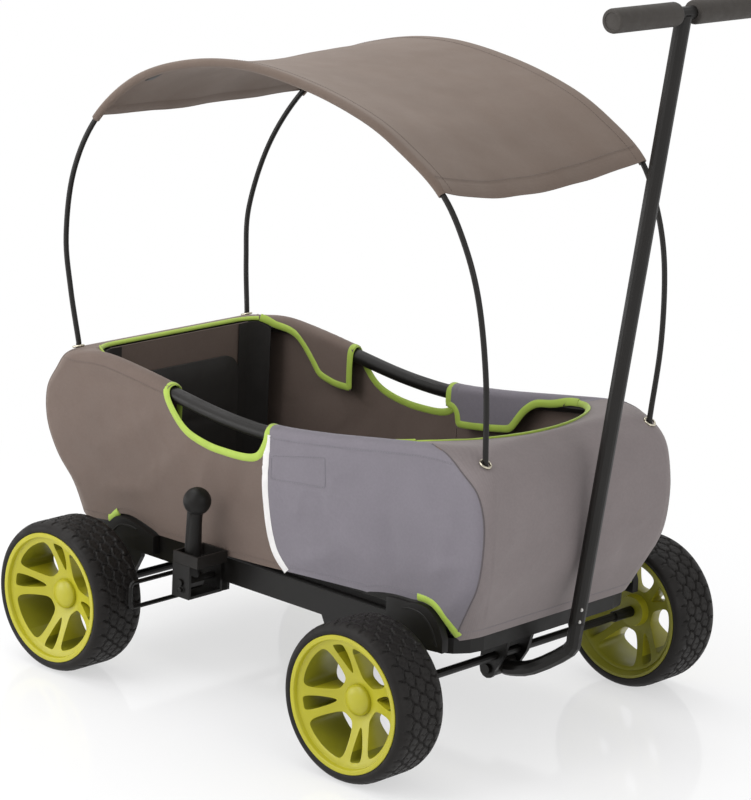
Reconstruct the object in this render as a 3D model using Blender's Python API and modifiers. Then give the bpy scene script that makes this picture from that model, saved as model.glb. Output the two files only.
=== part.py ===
"""Folding wagon with a fabric tub, a steered front axle, a tow bar, a brake and a canopy.

Metres, +Z up, +X forward; the near side is -Y. In the wagon's own frame x = 0 is midway
between the axles and z = 0 is the ground. The root empty moves the whole wagon so that the
world origin lies under the middle of its bounding box.
"""

from math import atan2, cos, hypot, pi, radians, sin

import bmesh
import bpy
from mathutils import Vector

# General fits
GAP = 0.0003
RUNNING_FIT = 0.0003
QUARTER = radians(90)

# Wheels
WHEELBASE = 0.580
REAR_AXLE_X = -WHEELBASE / 2
FRONT_AXLE_X = WHEELBASE / 2
BASE_HALF_WIDTH = 0.1995


def along(x, drawn_axle_x=0.290):
    """A place along the wagon as drawn, carried to where the axles above stand."""
    if abs(x) < drawn_axle_x:
        return x * FRONT_AXLE_X / drawn_axle_x
    return x + (FRONT_AXLE_X - drawn_axle_x if x > 0 else REAR_AXLE_X + drawn_axle_x)


TYRE_RADIUS = 0.1105
WHEEL_WIDTH = 0.086
WHEEL_OUTER_FACE = BASE_HALF_WIDTH + 0.1405
WHEEL_STEPS = 24
RIM_RADIUS = TYRE_RADIUS - 0.0155
TYRE_SEAT = RIM_RADIUS - 0.0045
BARREL_INNER = TYRE_SEAT - 0.006
HUB_RADIUS = 0.024
HUB_RECESS = 0.034
HUB_LENGTH = 0.028
DISH_DEPTH = 0.007
SPOKE_THICKNESS = 0.020
WINDOW_INNER = 0.034
WINDOW_OUTER = BARREL_INNER - 0.0055
LEAF_INNER = 0.038
LEAF_OUTER = BARREL_INNER - 0.0055
LEAF_HALF_WIDTH = 0.0085
SPOKE_PAIRS = 4
CAP_RADIUS = 0.021
CAP_RISE = 0.010

# Axles
AXLE_RADIUS = 0.006
AXLE_NUT_RADIUS = 0.0085
AXLE_NUT_LENGTH = 0.0047
SLEEVE_RADIUS = 0.008
FRONT_SLEEVE_LENGTH = 0.040

# Base frame
BASE_FRONT = FRONT_AXLE_X + 0.072
BASE_REAR = REAR_AXLE_X - 0.107
BASE_CORNER = 0.060
BASE_BAR = 0.016
BASE_BOTTOM = 0.162
BASE_TOP = 0.198
FRONT_BAND_TOP = 0.184
FRONT_BAND_START = BASE_FRONT - 0.032
GUSSET_START = FRONT_AXLE_X - 0.175
GUSSET_END = FRONT_AXLE_X - 0.040
GUSSET_DROP = 0.016
CROSSMEMBER_WIDTH = 0.028
CROSSMEMBER_BOTTOM = 0.166
FRONT_CROSSMEMBER_TOP = 0.190
FLOOR_THICKNESS = 0.008
FLOOR_HALF_WIDTH = BASE_HALF_WIDTH - BASE_BAR + 0.001
FLOOR_REAR = BASE_REAR + 0.021
FLOOR_FRONT = BASE_FRONT - 0.024
HOUSING_TOP = 0.228
HOUSING_BOTTOM = 0.188
HOUSING_OUTER = BASE_HALF_WIDTH + 0.0125
HOUSING_INNER = BASE_HALF_WIDTH - 0.0135
HOUSING_ROUND = 0.028
NOTCH_MARGIN = 0.003
HOUSINGS = (
    (REAR_AXLE_X - 0.020, REAR_AXLE_X + 0.090),
    (FRONT_AXLE_X - 0.044, FRONT_AXLE_X + 0.062),
)

# Rear axle brackets
BRACKET_OUTER = BASE_HALF_WIDTH - 0.0035
BRACKET_THICKNESS = 0.008
BRACKET_TOP_LENGTH = 0.080
BRACKET_EYE = 0.016

# Steering
YOKE_HALF_WIDTH = 0.028
YOKE_WALL = 0.006
YOKE_TOP = 0.156
YOKE_LENGTH = 0.050
KING_PIN_RADIUS = 0.007
KING_PIN_HEAD = 0.011
KING_PIN_HEAD_THICKNESS = 0.0042
THRUST_DISC_RADIUS = 0.026

# Tow bar
PIVOT_SETBACK = 0.012
PIVOT_HEIGHT = 0.088
PIVOT_EYE = 0.014
PIVOT_PIN_RADIUS = 0.004
TOW_TUBE_RADIUS = 0.011
TOW_JOINT = (FRONT_AXLE_X + 0.119, 0.185)
HANDLE_HEIGHT = 1.035
TOW_TOP = (FRONT_AXLE_X + 0.2258, HANDLE_HEIGHT)
TOW_BENDS = (
    (FRONT_AXLE_X + 0.008, 0.088), (FRONT_AXLE_X + 0.049, 0.101), (FRONT_AXLE_X + 0.109, 0.142),
)
SPIGOT_LENGTH = 0.040
SPIGOT_RADIUS = 0.0085
CROSS_TUBE_RADIUS = 0.009
HANDLE_HALF_LENGTH = 0.150
GRIP_RADIUS = 0.016
GRIP_INNER_END = 0.018
GRIP_END_WALL = 0.004

# Brake
BRAKE_AXIS = (REAR_AXLE_X + 0.195, 0.168)
BRAKE_SHAFT_RADIUS = 0.005
LEVER_Y = BASE_HALF_WIDTH + 0.0455
LEVER_LENGTH = 0.100
LEVER_HUB_RADIUS = 0.013
LEVER_RADIUS = 0.0115
KNOB_RADIUS = 0.020
BRACKET_WALL = 0.004
BRAKE_BRACKET_HALF_LENGTH = 0.017
BRAKE_BRACKET_OUTER = BASE_HALF_WIDTH + 0.0665
BRAKE_BRACKET_BOTTOM = 0.146
GUIDE_BOTTOM = 0.195
GUIDE_TOP = 0.212
GUIDE_REAR = BRAKE_AXIS[0] - 0.017
GUIDE_FRONT = BRAKE_AXIS[0] + 0.032
GUIDE_WALL = 0.003
CRANK_THROW = 0.0105
CRANK_PIN_RADIUS = 0.002
SHOE_ROD_RADIUS = 0.0035
SHOE_GAP = 0.0041
SHOE_HEIGHTS = (0.115, 0.152)
SHOE_REACH = WHEEL_OUTER_FACE - 0.050
PUSH_BAR_Y = BASE_HALF_WIDTH - 0.0215
PUSH_BAR_THICKNESS = 0.005

# Rail round the top of the tub
RAIL_RADIUS = 0.010
RAIL_REAR = BASE_REAR + 0.002
RAIL_FRONT = BASE_FRONT - 0.010
RAIL_HALF_WIDTH = BASE_HALF_WIDTH - 0.008
RAIL_CORNER = 0.050
RIM_ABOVE_RAIL = 0.0155
RIM_HEIGHTS = tuple((along(x), z) for x, z in (
    (-0.395, 0.437), (-0.337, 0.442), (-0.262, 0.435), (-0.204, 0.427), (-0.100, 0.413),
    (-0.002, 0.409), (0.097, 0.418), (0.208, 0.434), (0.285, 0.443), (0.335, 0.439),
    (0.360, 0.434),
))

# End scissors
ARM_LENGTH = 0.290
ARM_HALF_WIDTH = 0.009
ARM_THICKNESS = 0.003
ARM_PIVOT_Y = 0.0515 - BASE_HALF_WIDTH
ARM_FOOT_Z = 0.215
ARM_HEAD_Z = 0.398
ARM_PIN_RADIUS = 0.003
ARM_LOOSE_FIT = 0.0036
GUIDE_PLATE_RISE = 0.017
TUB_TRAVEL = 0.140

# Canopy
BOW_RADIUS = 0.004
POLE_FOOT_Y = BASE_HALF_WIDTH - 0.0235
REAR_POLE_X = BASE_REAR - 0.020
FRONT_POLE_X = BASE_FRONT + 0.014
REAR_POLE_FOOT = 0.285
FRONT_POLE_FOOT = 0.292
POLE_STRAIGHT_TOP = 0.440
BOW_POINTS = tuple((along(x), BASE_HALF_WIDTH + outset, z) for x, outset, z in (
    (-0.430, -0.0165, 0.520), (-0.435, -0.0095, 0.600), (-0.409, 0.0025, 0.701),
    (-0.354, 0.0115, 0.788), (-0.274, 0.0125, 0.854), (-0.175, 0.0125, 0.890),
    (-0.060, 0.0125, 0.904), (0.061, 0.0125, 0.892), (0.166, 0.0125, 0.866),
    (0.236, 0.0125, 0.834), (0.302, 0.0105, 0.790), (0.340, 0.0045, 0.731),
    (0.366, -0.0025, 0.655), (0.378, -0.0125, 0.549),
))
SOCKET_HALF_WIDTH = 0.0068
SOCKET_HEIGHT = 0.022
SHEET_REAR = along(-0.344)
SHEET_FRONT = along(0.302)
SHEET_FRONT_SAG = 0.020
SHEET_REAR_SAG = 0.003
SHEET_OVERHANG = 0.007
SHEET_LOWEST = 0.775

# Cloth
CLOTH = 0.0015
SEAM_GAP = 0.0008
STRIPE = tuple((z, along(x)) for z, x in (
    (0.190, 0.048), (0.204, 0.043), (0.239, 0.022), (0.286, 0.006), (0.328, 0.001), (0.405, 0.003),
))
HEM_HEIGHTS = tuple((along(x), z) for x, z in (
    (-0.397, 0.1985), (-0.100, 0.200), (0.000, 0.203), (0.120, 0.207), (0.240, 0.213),
    (0.330, 0.200), (0.362, 0.188),
))
FLAP_HEIGHTS = tuple((along(x), z) for x, z in (
    (-0.345, 0.440), (-0.305, 0.415), (-0.278, 0.386), (-0.262, 0.367), (-0.194, 0.358),
    (-0.100, 0.370), (0.000, 0.375), (0.022, 0.350), (0.124, 0.364), (0.146, 0.392),
    (0.168, 0.411), (0.213, 0.424), (0.250, 0.430), (0.300, 0.440),
))
HAND_OPENING = tuple((along(x), z) for x, z in (
    (-0.199, 0.460), (-0.197, 0.421), (-0.189, 0.402), (-0.161, 0.373), (-0.110, 0.359),
    (-0.051, 0.357), (-0.014, 0.364), (-0.004, 0.380), (-0.003, 0.460),
))
PAD_HALF_WIDTH = BASE_HALF_WIDTH - 0.0795
PAD_THICKNESS = 0.010
PAD_TOP = 0.388
PAD_FRONT = BASE_REAR + 0.028
PAD_CORNER = 0.030


def collection_of(name):
    """A new collection in the scene."""
    made = bpy.data.collections.new(name)
    bpy.context.scene.collection.children.link(made)
    return made


def finish(name, colour, roughness, metallic=0.0):
    """A Principled material in one linear colour."""
    made = bpy.data.materials.new(name)
    made.use_nodes = True
    shader = made.node_tree.nodes["Principled BSDF"]
    shader.inputs["Base Color"].default_value = (*colour, 1.0)
    shader.inputs["Roughness"].default_value = roughness
    shader.inputs["Metallic"].default_value = metallic
    return made


def standing(holder):
    """Where an empty stands in the wagon's own frame."""
    place = Vector((0.0, 0.0, 0.0))
    while holder.parent:
        place = place + holder.location
        holder = holder.parent
    return place


def axis_at(name, place, holder):
    """An empty that stands on a joint's axis."""
    made = bpy.data.objects.new(name, None)
    WAGON.objects.link(made)
    made.parent = holder
    made.location = Vector(place) - standing(holder)
    return made


def put(item, holder, look, place=(0.0, 0.0, 0.0), turn=(0.0, 0.0, 0.0)):
    """Place a finished piece, given in the wagon's own frame, on the empty that carries it."""
    item.parent = holder
    item.location = Vector(place) - standing(holder)
    item.rotation_euler = turn
    item.data.materials.append(look)
    return item


def mesh_object(name, bm):
    """An object from a bmesh, shaded smooth between its edges."""
    mesh = bpy.data.meshes.new(name)
    bm.to_mesh(mesh)
    bm.free()
    mesh.shade_smooth()
    mesh.set_sharp_from_angle(angle=radians(35))
    made = bpy.data.objects.new(name, mesh)
    WAGON.objects.link(made)
    return made


def block(name, low, high, bevel=0.0):
    """A box between two corners, with rounded edges where bevel is given."""
    low = Vector(low)
    high = Vector(high)
    bm = bmesh.new()
    bmesh.ops.create_cube(bm, size=1.0)
    for corner in bm.verts:
        share = corner.co + Vector((0.5, 0.5, 0.5))
        corner.co = low + Vector([share[k] * (high[k] - low[k]) for k in range(3)])
    made = mesh_object(name, bm)
    if bevel:
        rounding = made.modifiers.new("Rounded edges", "BEVEL")
        rounding.width = bevel
        rounding.segments = 2
    return made


def turned(name, profile, steps=16):
    """A solid of revolution about local Z from (radius, height) points."""
    following = profile[1:] + profile[:1]
    if sum(a[0] * b[1] - b[0] * a[1] for a, b in zip(profile, following)) > 0:
        profile = profile[::-1]
    bm = bmesh.new()
    points = [bm.verts.new((radius, 0.0, height)) for radius, height in profile]
    for first, second in zip(points, points[1:]):
        bm.edges.new((first, second))
    if profile[0][0] > 0 or profile[-1][0] > 0:
        bm.edges.new((points[-1], points[0]))
    made = mesh_object(name, bm)
    screw = made.modifiers.new("Turn", "SCREW")
    screw.steps = steps
    screw.render_steps = steps
    screw.use_merge_vertices = True
    screw.merge_threshold = 0.00001
    return made


def rod(name, radius, low, high, steps=12):
    """A plain cylinder along local Z."""
    return turned(name, [(0.0, high), (radius, high), (radius, low), (0.0, low)], steps)


def tube(name, points, radius, roundness=2, closed=False):
    """A round bar along a path."""
    curve = bpy.data.curves.new(name, "CURVE")
    curve.dimensions = "3D"
    spline = curve.splines.new("POLY")
    spline.points.add(len(points) - 1)
    for knot, point in zip(spline.points, points):
        knot.co = (*point, 1.0)
    spline.use_cyclic_u = closed
    spline.use_smooth = True
    curve.bevel_depth = radius
    curve.bevel_resolution = roundness
    curve.use_fill_caps = not closed
    made = bpy.data.objects.new(name, curve)
    WAGON.objects.link(made)
    return made


def plate(name, outline, thickness, holes=()):
    """A flat sheet with the given outline in local XY, centred on z = 0."""
    curve = bpy.data.curves.new(name, "CURVE")
    curve.dimensions = "2D"
    curve.fill_mode = "BOTH"
    curve.extrude = thickness / 2
    for loop in (outline, *holes):
        spline = curve.splines.new("POLY")
        spline.points.add(len(loop) - 1)
        for knot, point in zip(spline.points, loop):
            knot.co = (point[0], point[1], 0.0, 1.0)
        spline.use_cyclic_u = True
    made = bpy.data.objects.new(name, curve)
    WAGON.objects.link(made)
    return made


def as_mesh(item):
    """The same piece as a mesh with welded caps, in place of its curve."""
    bpy.context.view_layer.update()
    seen = item.evaluated_get(bpy.context.evaluated_depsgraph_get())
    mesh = bpy.data.meshes.new_from_object(seen)
    bm = bmesh.new()
    bm.from_mesh(mesh)
    bmesh.ops.remove_doubles(bm, verts=bm.verts, dist=0.00001)
    bmesh.ops.recalc_face_normals(bm, faces=bm.faces)
    bm.to_mesh(mesh)
    bm.free()
    name = item.name
    holder = item.parent
    where = item.matrix_world.copy()
    bpy.data.objects.remove(item)
    made = bpy.data.objects.new(name, mesh)
    WAGON.objects.link(made)
    made.parent = holder
    made.matrix_world = where
    return made


def tool(item, holder, place=(0.0, 0.0, 0.0), turn=(0.0, 0.0, 0.0)):
    """Make a piece a cutter: out of the wagon's collection and out of renders."""
    item.parent = holder
    item.location = Vector(place) - standing(holder)
    item.rotation_euler = turn
    WAGON.objects.unlink(item)
    CUTTERS.objects.link(item)
    item.hide_render = True
    item.display_type = "WIRE"
    return item


def mesh_tool(item, holder, place=(0.0, 0.0, 0.0), turn=(0.0, 0.0, 0.0)):
    """A cutter made from a curve."""
    item.parent = holder
    item.location = Vector(place) - standing(holder)
    item.rotation_euler = turn
    made = as_mesh(item)
    WAGON.objects.unlink(made)
    CUTTERS.objects.link(made)
    made.hide_render = True
    made.display_type = "WIRE"
    return made


def combine(item, other, operation):
    """Add a Boolean with another object."""
    step = item.modifiers.new(other.name, "BOOLEAN")
    step.operation = operation
    step.solver = "EXACT"
    step.object = other


def cut(item, *tools):
    """Take tools out of a piece."""
    for each in tools:
        combine(item, each, "DIFFERENCE")


def fuse(item, *others):
    """Weld other shapes onto a piece."""
    for each in others:
        combine(item, each, "UNION")


def between(table, x):
    """Value at x on a line through (x, value) pairs, level past its ends."""
    if x <= table[0][0]:
        return table[0][1]
    for (x0, v0), (x1, v1) in zip(table, table[1:]):
        if x <= x1:
            return v0 + (v1 - v0) * (x - x0) / (x1 - x0)
    return table[-1][1]


def circle(centre, radius, count, start=0.0, sweep=2 * pi):
    """Points on an arc; a whole circle leaves out its repeated end."""
    spans = count if sweep == 2 * pi else count - 1
    angles = [start + sweep * k / spans for k in range(count)]
    return [(centre[0] + radius * cos(a), centre[1] + radius * sin(a)) for a in angles]


def smooth_path(points, steps):
    """Points along a Catmull-Rom curve through the given ones."""
    points = [Vector(p) for p in points]
    ends = [2 * points[0] - points[1], *points, 2 * points[-1] - points[-2]]
    path = []
    for before, here, there, after in zip(ends, ends[1:], ends[2:], ends[3:]):
        for k in range(steps):
            t = k / steps
            bend = 2 * before - 5 * here + 4 * there - after
            twist = 3 * here - before - 3 * there + after
            path.append((2 * here + (there - before) * t + bend * t * t + twist * t ** 3) / 2)
    return [*path, points[-1]]


def rounded_loop(rear, front, half_width, corner, per_corner=5):
    """Plan points of a rounded rectangle, anticlockwise from its near rear corner."""
    centres = (
        (rear + corner, -half_width + corner, pi),
        (front - corner, -half_width + corner, 1.5 * pi),
        (front - corner, half_width - corner, 0.0),
        (rear + corner, half_width - corner, 0.5 * pi),
    )
    loop = []
    for x, y, start in centres:
        loop = loop + circle((x, y), corner, per_corner, start, pi / 2)
    return loop


def base_frame(root):
    """The flat loop that carries everything, with its gussets, crossmembers and floor."""
    height = BASE_TOP - BASE_BOTTOM
    outer = rounded_loop(BASE_REAR, BASE_FRONT, BASE_HALF_WIDTH, BASE_CORNER)
    inner = rounded_loop(
        BASE_REAR + BASE_BAR, BASE_FRONT - BASE_BAR, BASE_HALF_WIDTH - BASE_BAR, BASE_CORNER - BASE_BAR
    )
    frame = plate("base_frame", outer, height, [inner])
    put(frame, root, BLACK_PAINT, (0.0, 0.0, (BASE_TOP + BASE_BOTTOM) / 2))
    frame = as_mesh(frame)
    wide = BASE_HALF_WIDTH + BASE_BAR
    step = block(
        "front_band_cut", (FRONT_BAND_START, -wide, FRONT_BAND_TOP), (BASE_FRONT + BASE_BAR, wide, BASE_TOP * 1.1)
    )
    cut(frame, tool(step, root))
    gusset = [
        (GUSSET_START, BASE_BOTTOM + BASE_BAR / 2), (GUSSET_START, BASE_BOTTOM),
        (GUSSET_START + GUSSET_DROP / 2, BASE_BOTTOM - GUSSET_DROP), (GUSSET_END, BASE_BOTTOM - GUSSET_DROP),
        (GUSSET_END + GUSSET_DROP, BASE_BOTTOM), (GUSSET_END + GUSSET_DROP, BASE_BOTTOM + BASE_BAR / 2),
    ]
    for side, word in SIDES:
        middle = side * (BASE_HALF_WIDTH - BASE_BAR / 2)
        low = plate("gusset_" + word, gusset, BASE_BAR * 0.8)
        fuse(frame, mesh_tool(low, root, (0.0, middle, 0.0), (QUARTER, 0.0, 0.0)))
    shaft_hole = rod("brake_shaft_hole", BRAKE_SHAFT_RADIUS + 2 * RUNNING_FIT, -wide, wide)
    cut(frame, tool(shaft_hole, root, (BRAKE_AXIS[0], 0.0, BRAKE_AXIS[1]), (QUARTER, 0.0, 0.0)))

    reach = BASE_HALF_WIDTH - BASE_BAR - GAP
    half = CROSSMEMBER_WIDTH / 2
    for x, word, top in ((REAR_AXLE_X, "rear", BASE_TOP), (FRONT_AXLE_X, "front", FRONT_CROSSMEMBER_TOP)):
        beam = block(
            word + "_crossmember", (x - half, -reach, CROSSMEMBER_BOTTOM), (x + half, reach, top), 0.003
        )
        put(beam, root, BLACK_PAINT)
        if word == "front":
            hole = rod("king_pin_hole", KING_PIN_RADIUS + RUNNING_FIT, 0.0, BASE_TOP)
            cut(beam, tool(hole, root, (x, 0.0, 0.0)))

    floor = block(
        "floor_board", (FLOOR_REAR, -FLOOR_HALF_WIDTH, BASE_TOP + GAP),
        (FLOOR_FRONT, FLOOR_HALF_WIDTH, BASE_TOP + GAP + FLOOR_THICKNESS)
    )
    put(floor, root, BLACK_CLOTH)
    for rear, front in HOUSINGS:
        end = "rear" if rear < 0 else "front"
        for side, word in SIDES:
            corner_housing(f"{end}_housing_{word}", rear, front, side, root)


def housing_outline(rear, front, grow):
    """Side view of a corner cover, with its outer top corner well rounded."""
    bottom = HOUSING_BOTTOM - grow
    rise = HOUSING_TOP + grow
    outer_round = HOUSING_ROUND + grow
    inner_round = HOUSING_ROUND / 4 + grow
    rear_round, front_round = (outer_round, inner_round) if rear < 0 else (inner_round, outer_round)
    outline = [(rear - grow, bottom), (front + grow, bottom)]
    outline = outline + circle((front + grow - front_round, rise - front_round), front_round, 6, 0.0, pi / 2)
    return outline + circle((rear - grow + rear_round, rise - rear_round), rear_round, 6, pi / 2, pi / 2)


def corner_housing(name, rear, front, side, root):
    """A moulded cover that sits over the loop at one end of a side."""
    middle = side * (HOUSING_INNER + HOUSING_OUTER) / 2
    shell = plate(name, housing_outline(rear, front, 0.0), HOUSING_OUTER - HOUSING_INNER)
    housing = as_mesh(put(shell, root, BLACK_PLASTIC, (0.0, middle, 0.0), (QUARTER, 0.0, 0.0)))
    reach = BASE_HALF_WIDTH + GAP
    seat_low = (rear - 0.010, -reach, BASE_BOTTOM)
    seat_high = (front + 0.010, reach, BASE_TOP + GAP)
    cut(housing, tool(block(name + "_seat", seat_low, seat_high), root))


def wheel_profiles():
    """Profiles of one tyre, rim and cap about local Z, with the outer face at z = 0."""
    width = WHEEL_WIDTH
    lip = 0.004
    tread = TYRE_RADIUS
    seat = RIM_RADIUS + GAP
    tyre = [
        (seat, -0.0015), (tread - 0.0075, -0.0005), (tread - 0.002, -0.005), (tread, -0.014),
        (tread, -width + 0.014), (tread - 0.002, -width + 0.005), (tread - 0.0075, -width + 0.0005),
        (seat, -width + 0.0015), (seat, -width + lip + GAP), (TYRE_SEAT + GAP, -width + 2 * lip + GAP),
        (TYRE_SEAT + GAP, -2 * lip - GAP), (seat, -lip - GAP),
    ]
    hub_back = -HUB_RECESS - HUB_LENGTH
    bore = AXLE_RADIUS + RUNNING_FIT * 1.5
    rim = [
        (RIM_RADIUS, 0.0), (RIM_RADIUS, -lip), (TYRE_SEAT, -2 * lip), (TYRE_SEAT, -width + 2 * lip),
        (RIM_RADIUS, -width + lip), (RIM_RADIUS, -width), (RIM_RADIUS - lip, -width),
        (BARREL_INNER, -width + 0.010), (BARREL_INNER, -DISH_DEPTH - SPOKE_THICKNESS),
        (HUB_RADIUS, -HUB_RECESS - SPOKE_THICKNESS), (HUB_RADIUS - 0.002, hub_back), (bore, hub_back),
        (bore, -HUB_RECESS), (HUB_RADIUS, -HUB_RECESS), (BARREL_INNER, -DISH_DEPTH),
        (RIM_RADIUS - 0.007, -DISH_DEPTH), (RIM_RADIUS - 0.005, 0.0),
    ]
    cap_seat = -HUB_RECESS + GAP
    nut_room = AXLE_NUT_RADIUS + 0.0025
    cap_top = -HUB_RECESS + CAP_RISE
    cap = [
        (0.0, cap_top), (0.009, cap_top - 0.0007), (0.017, cap_top - 0.003), (CAP_RADIUS, cap_top - 0.0065),
        (CAP_RADIUS, cap_seat), (nut_room, cap_seat), (nut_room, cap_top - 0.0038), (0.0, cap_top - 0.0034),
    ]
    return tyre, rim, cap


def window_outline():
    """One of the large openings between two pairs of spokes, about local +X."""
    inner = circle((0.0, 0.0), WINDOW_INNER, 4, radians(-18), radians(36))
    outer = circle((0.0, 0.0), WINDOW_OUTER, 6, radians(27), radians(-54))
    waist = circle((0.0, 0.0), WINDOW_INNER * 1.25, 2, radians(24), radians(-48))
    return [*inner, waist[0], *outer, waist[1]]


def leaf_outline():
    """The narrow slot inside a pair of spokes, about local +X."""
    blunt = LEAF_HALF_WIDTH * 0.2
    mid = (LEAF_INNER + LEAF_OUTER) / 2
    return [
        (LEAF_INNER, -blunt), (mid, -LEAF_HALF_WIDTH * 0.7), (LEAF_OUTER - 0.005, -LEAF_HALF_WIDTH),
        (LEAF_OUTER, -LEAF_HALF_WIDTH * 0.6), (LEAF_OUTER, LEAF_HALF_WIDTH * 0.6),
        (LEAF_OUTER - 0.005, LEAF_HALF_WIDTH), (mid, LEAF_HALF_WIDTH * 0.7), (LEAF_INNER, blunt),
    ]


def wheel(end, side, word, holder, steps_turned):
    """Tyre, rim and cap of one wheel on its own axis."""
    place = (WHEELBASE / 2 * (1 if end == "front" else -1), side * WHEEL_OUTER_FACE, TYRE_RADIUS)
    spin = 2 * pi / WHEEL_STEPS * steps_turned
    turn = (-side * QUARTER, side * spin, 0.0)
    hub = axis_at(f"{end}_wheel_axis_{word}", place, holder)
    tyre, rim, cap = wheel_profiles()
    put(turned(f"{end}_tyre_{word}", tyre, WHEEL_STEPS), hub, RUBBER, place, turn)
    rim = put(turned(f"{end}_rim_{word}", rim, WHEEL_STEPS), hub, GREEN_PLASTIC, place, turn)
    deep = 2 * (HUB_RECESS + HUB_LENGTH)
    for k in range(SPOKE_PAIRS):
        leaf_angle = 2 * pi * k / SPOKE_PAIRS
        for shape, angle in ((leaf_outline(), leaf_angle), (window_outline(), leaf_angle + pi / SPOKE_PAIRS)):
            slot = plate("wheel_slot", turned_plan(shape, angle), deep)
            cut(rim, mesh_tool(slot, hub, place, turn))
    put(turned(f"{end}_hub_cap_{word}", cap, 12), hub, GREEN_PLASTIC, place, turn)


def turned_plan(outline, angle):
    """A flat outline turned about its origin."""
    return [(x * cos(angle) - y * sin(angle), x * sin(angle) + y * cos(angle)) for x, y in outline]


def axle_profile(sleeve_start):
    """Half of an axle, from its middle outwards, with nut and spacer sleeve."""
    hub_inner = WHEEL_OUTER_FACE - HUB_RECESS - HUB_LENGTH - GAP
    nut_inner = WHEEL_OUTER_FACE - HUB_RECESS + GAP
    nut_outer = nut_inner + AXLE_NUT_LENGTH
    upper = [
        (0.0, nut_outer), (AXLE_NUT_RADIUS, nut_outer), (AXLE_NUT_RADIUS, nut_inner), (AXLE_RADIUS, nut_inner),
        (AXLE_RADIUS, hub_inner), (SLEEVE_RADIUS, hub_inner), (SLEEVE_RADIUS, sleeve_start),
        (AXLE_RADIUS, sleeve_start),
    ]
    return upper + [(radius, -height) for radius, height in reversed(upper)]


def rear_axle(root):
    """The fixed rear axle and the two plates that carry it."""
    centre = (-WHEELBASE / 2, 0.0, TYRE_RADIUS)
    axle = turned("rear_axle", axle_profile(BRACKET_OUTER + GAP), 12)
    put(axle, root, BLACK_PAINT, centre, (QUARTER, 0.0, 0.0))
    half = BRACKET_TOP_LENGTH / 2
    drop = BASE_BOTTOM - GAP - TYRE_RADIUS
    outline = [(half, drop), (-half, drop), (-half, drop - 0.008)]
    outline = outline + circle((0.0, 0.0), BRACKET_EYE, 7, pi, pi) + [(half, drop - 0.008)]
    hole = circle((0.0, 0.0), AXLE_RADIUS + RUNNING_FIT * 1.5, 14)
    for side, word in SIDES:
        middle = side * (BRACKET_OUTER - BRACKET_THICKNESS / 2)
        bracket = plate("rear_axle_bracket_" + word, outline, BRACKET_THICKNESS, [hole])
        put(bracket, root, BLACK_PAINT, (centre[0], middle, centre[2]), (QUARTER, 0.0, 0.0))


def steering(root, steer):
    """The yoke under the front crossmember, its king pin and the front axle."""
    centre_x = WHEELBASE / 2
    half = YOKE_LENGTH / 2
    pivot_x = centre_x - PIVOT_SETBACK
    outline = [(centre_x + half, YOKE_TOP), (centre_x - half, YOKE_TOP), (centre_x - half, YOKE_TOP - 0.030)]
    outline = outline + circle((pivot_x, PIVOT_HEIGHT), PIVOT_EYE, 7, pi, pi)
    outline = outline + [(centre_x + BRACKET_EYE, TYRE_RADIUS), (centre_x + half, YOKE_TOP - 0.012)]
    yoke = plate("steering_yoke", outline, 2 * YOKE_HALF_WIDTH)
    yoke = as_mesh(put(yoke, steer, BLACK_PAINT, (0.0, 0.0, 0.0), (QUARTER, 0.0, 0.0)))
    throat = block(
        "yoke_throat", (centre_x - YOKE_LENGTH, -YOKE_HALF_WIDTH + YOKE_WALL, 0.0),
        (centre_x + YOKE_LENGTH, YOKE_HALF_WIDTH - YOKE_WALL, YOKE_TOP - YOKE_WALL)
    )
    axle_hole = rod("yoke_axle_hole", AXLE_RADIUS + RUNNING_FIT * 1.5, -0.05, 0.05)
    pin_hole = rod("yoke_pin_hole", PIVOT_PIN_RADIUS + RUNNING_FIT * 1.5, -0.05, 0.05)
    king_hole = rod("yoke_king_pin_hole", KING_PIN_RADIUS + RUNNING_FIT, 0.0, BASE_TOP)
    cut(
        yoke, tool(throat, root), tool(axle_hole, root, (centre_x, 0.0, TYRE_RADIUS), (QUARTER, 0.0, 0.0)),
        tool(pin_hole, root, (pivot_x, 0.0, PIVOT_HEIGHT), (QUARTER, 0.0, 0.0)),
        tool(king_hole, root, (centre_x, 0.0, 0.0))
    )
    axle = turned("front_axle", axle_profile(WHEEL_OUTER_FACE - HUB_RECESS - HUB_LENGTH - FRONT_SLEEVE_LENGTH), 12)
    put(axle, steer, BLACK_PAINT, (centre_x, 0.0, TYRE_RADIUS), (QUARTER, 0.0, 0.0))

    head_top = YOKE_TOP - YOKE_WALL - GAP
    nut_low = FRONT_CROSSMEMBER_TOP + GAP
    king_pin = turned("king_pin", [
        (0.0, nut_low + KING_PIN_HEAD_THICKNESS), (KING_PIN_HEAD, nut_low + KING_PIN_HEAD_THICKNESS),
        (KING_PIN_HEAD, nut_low), (KING_PIN_RADIUS, nut_low), (KING_PIN_RADIUS, head_top),
        (KING_PIN_HEAD, head_top), (KING_PIN_HEAD, head_top - KING_PIN_HEAD_THICKNESS),
        (0.0, head_top - KING_PIN_HEAD_THICKNESS),
    ], 16)
    put(king_pin, root, STEEL, (centre_x, 0.0, 0.0))
    disc_low = YOKE_TOP + GAP
    disc_high = CROSSMEMBER_BOTTOM - GAP
    inner = KING_PIN_RADIUS + RUNNING_FIT
    disc = turned("thrust_disc", [
        (THRUST_DISC_RADIUS, disc_high), (THRUST_DISC_RADIUS, disc_low), (inner, disc_low), (inner, disc_high),
    ], 20)
    put(disc, root, BLACK_PLASTIC, (centre_x, 0.0, 0.0))


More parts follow.
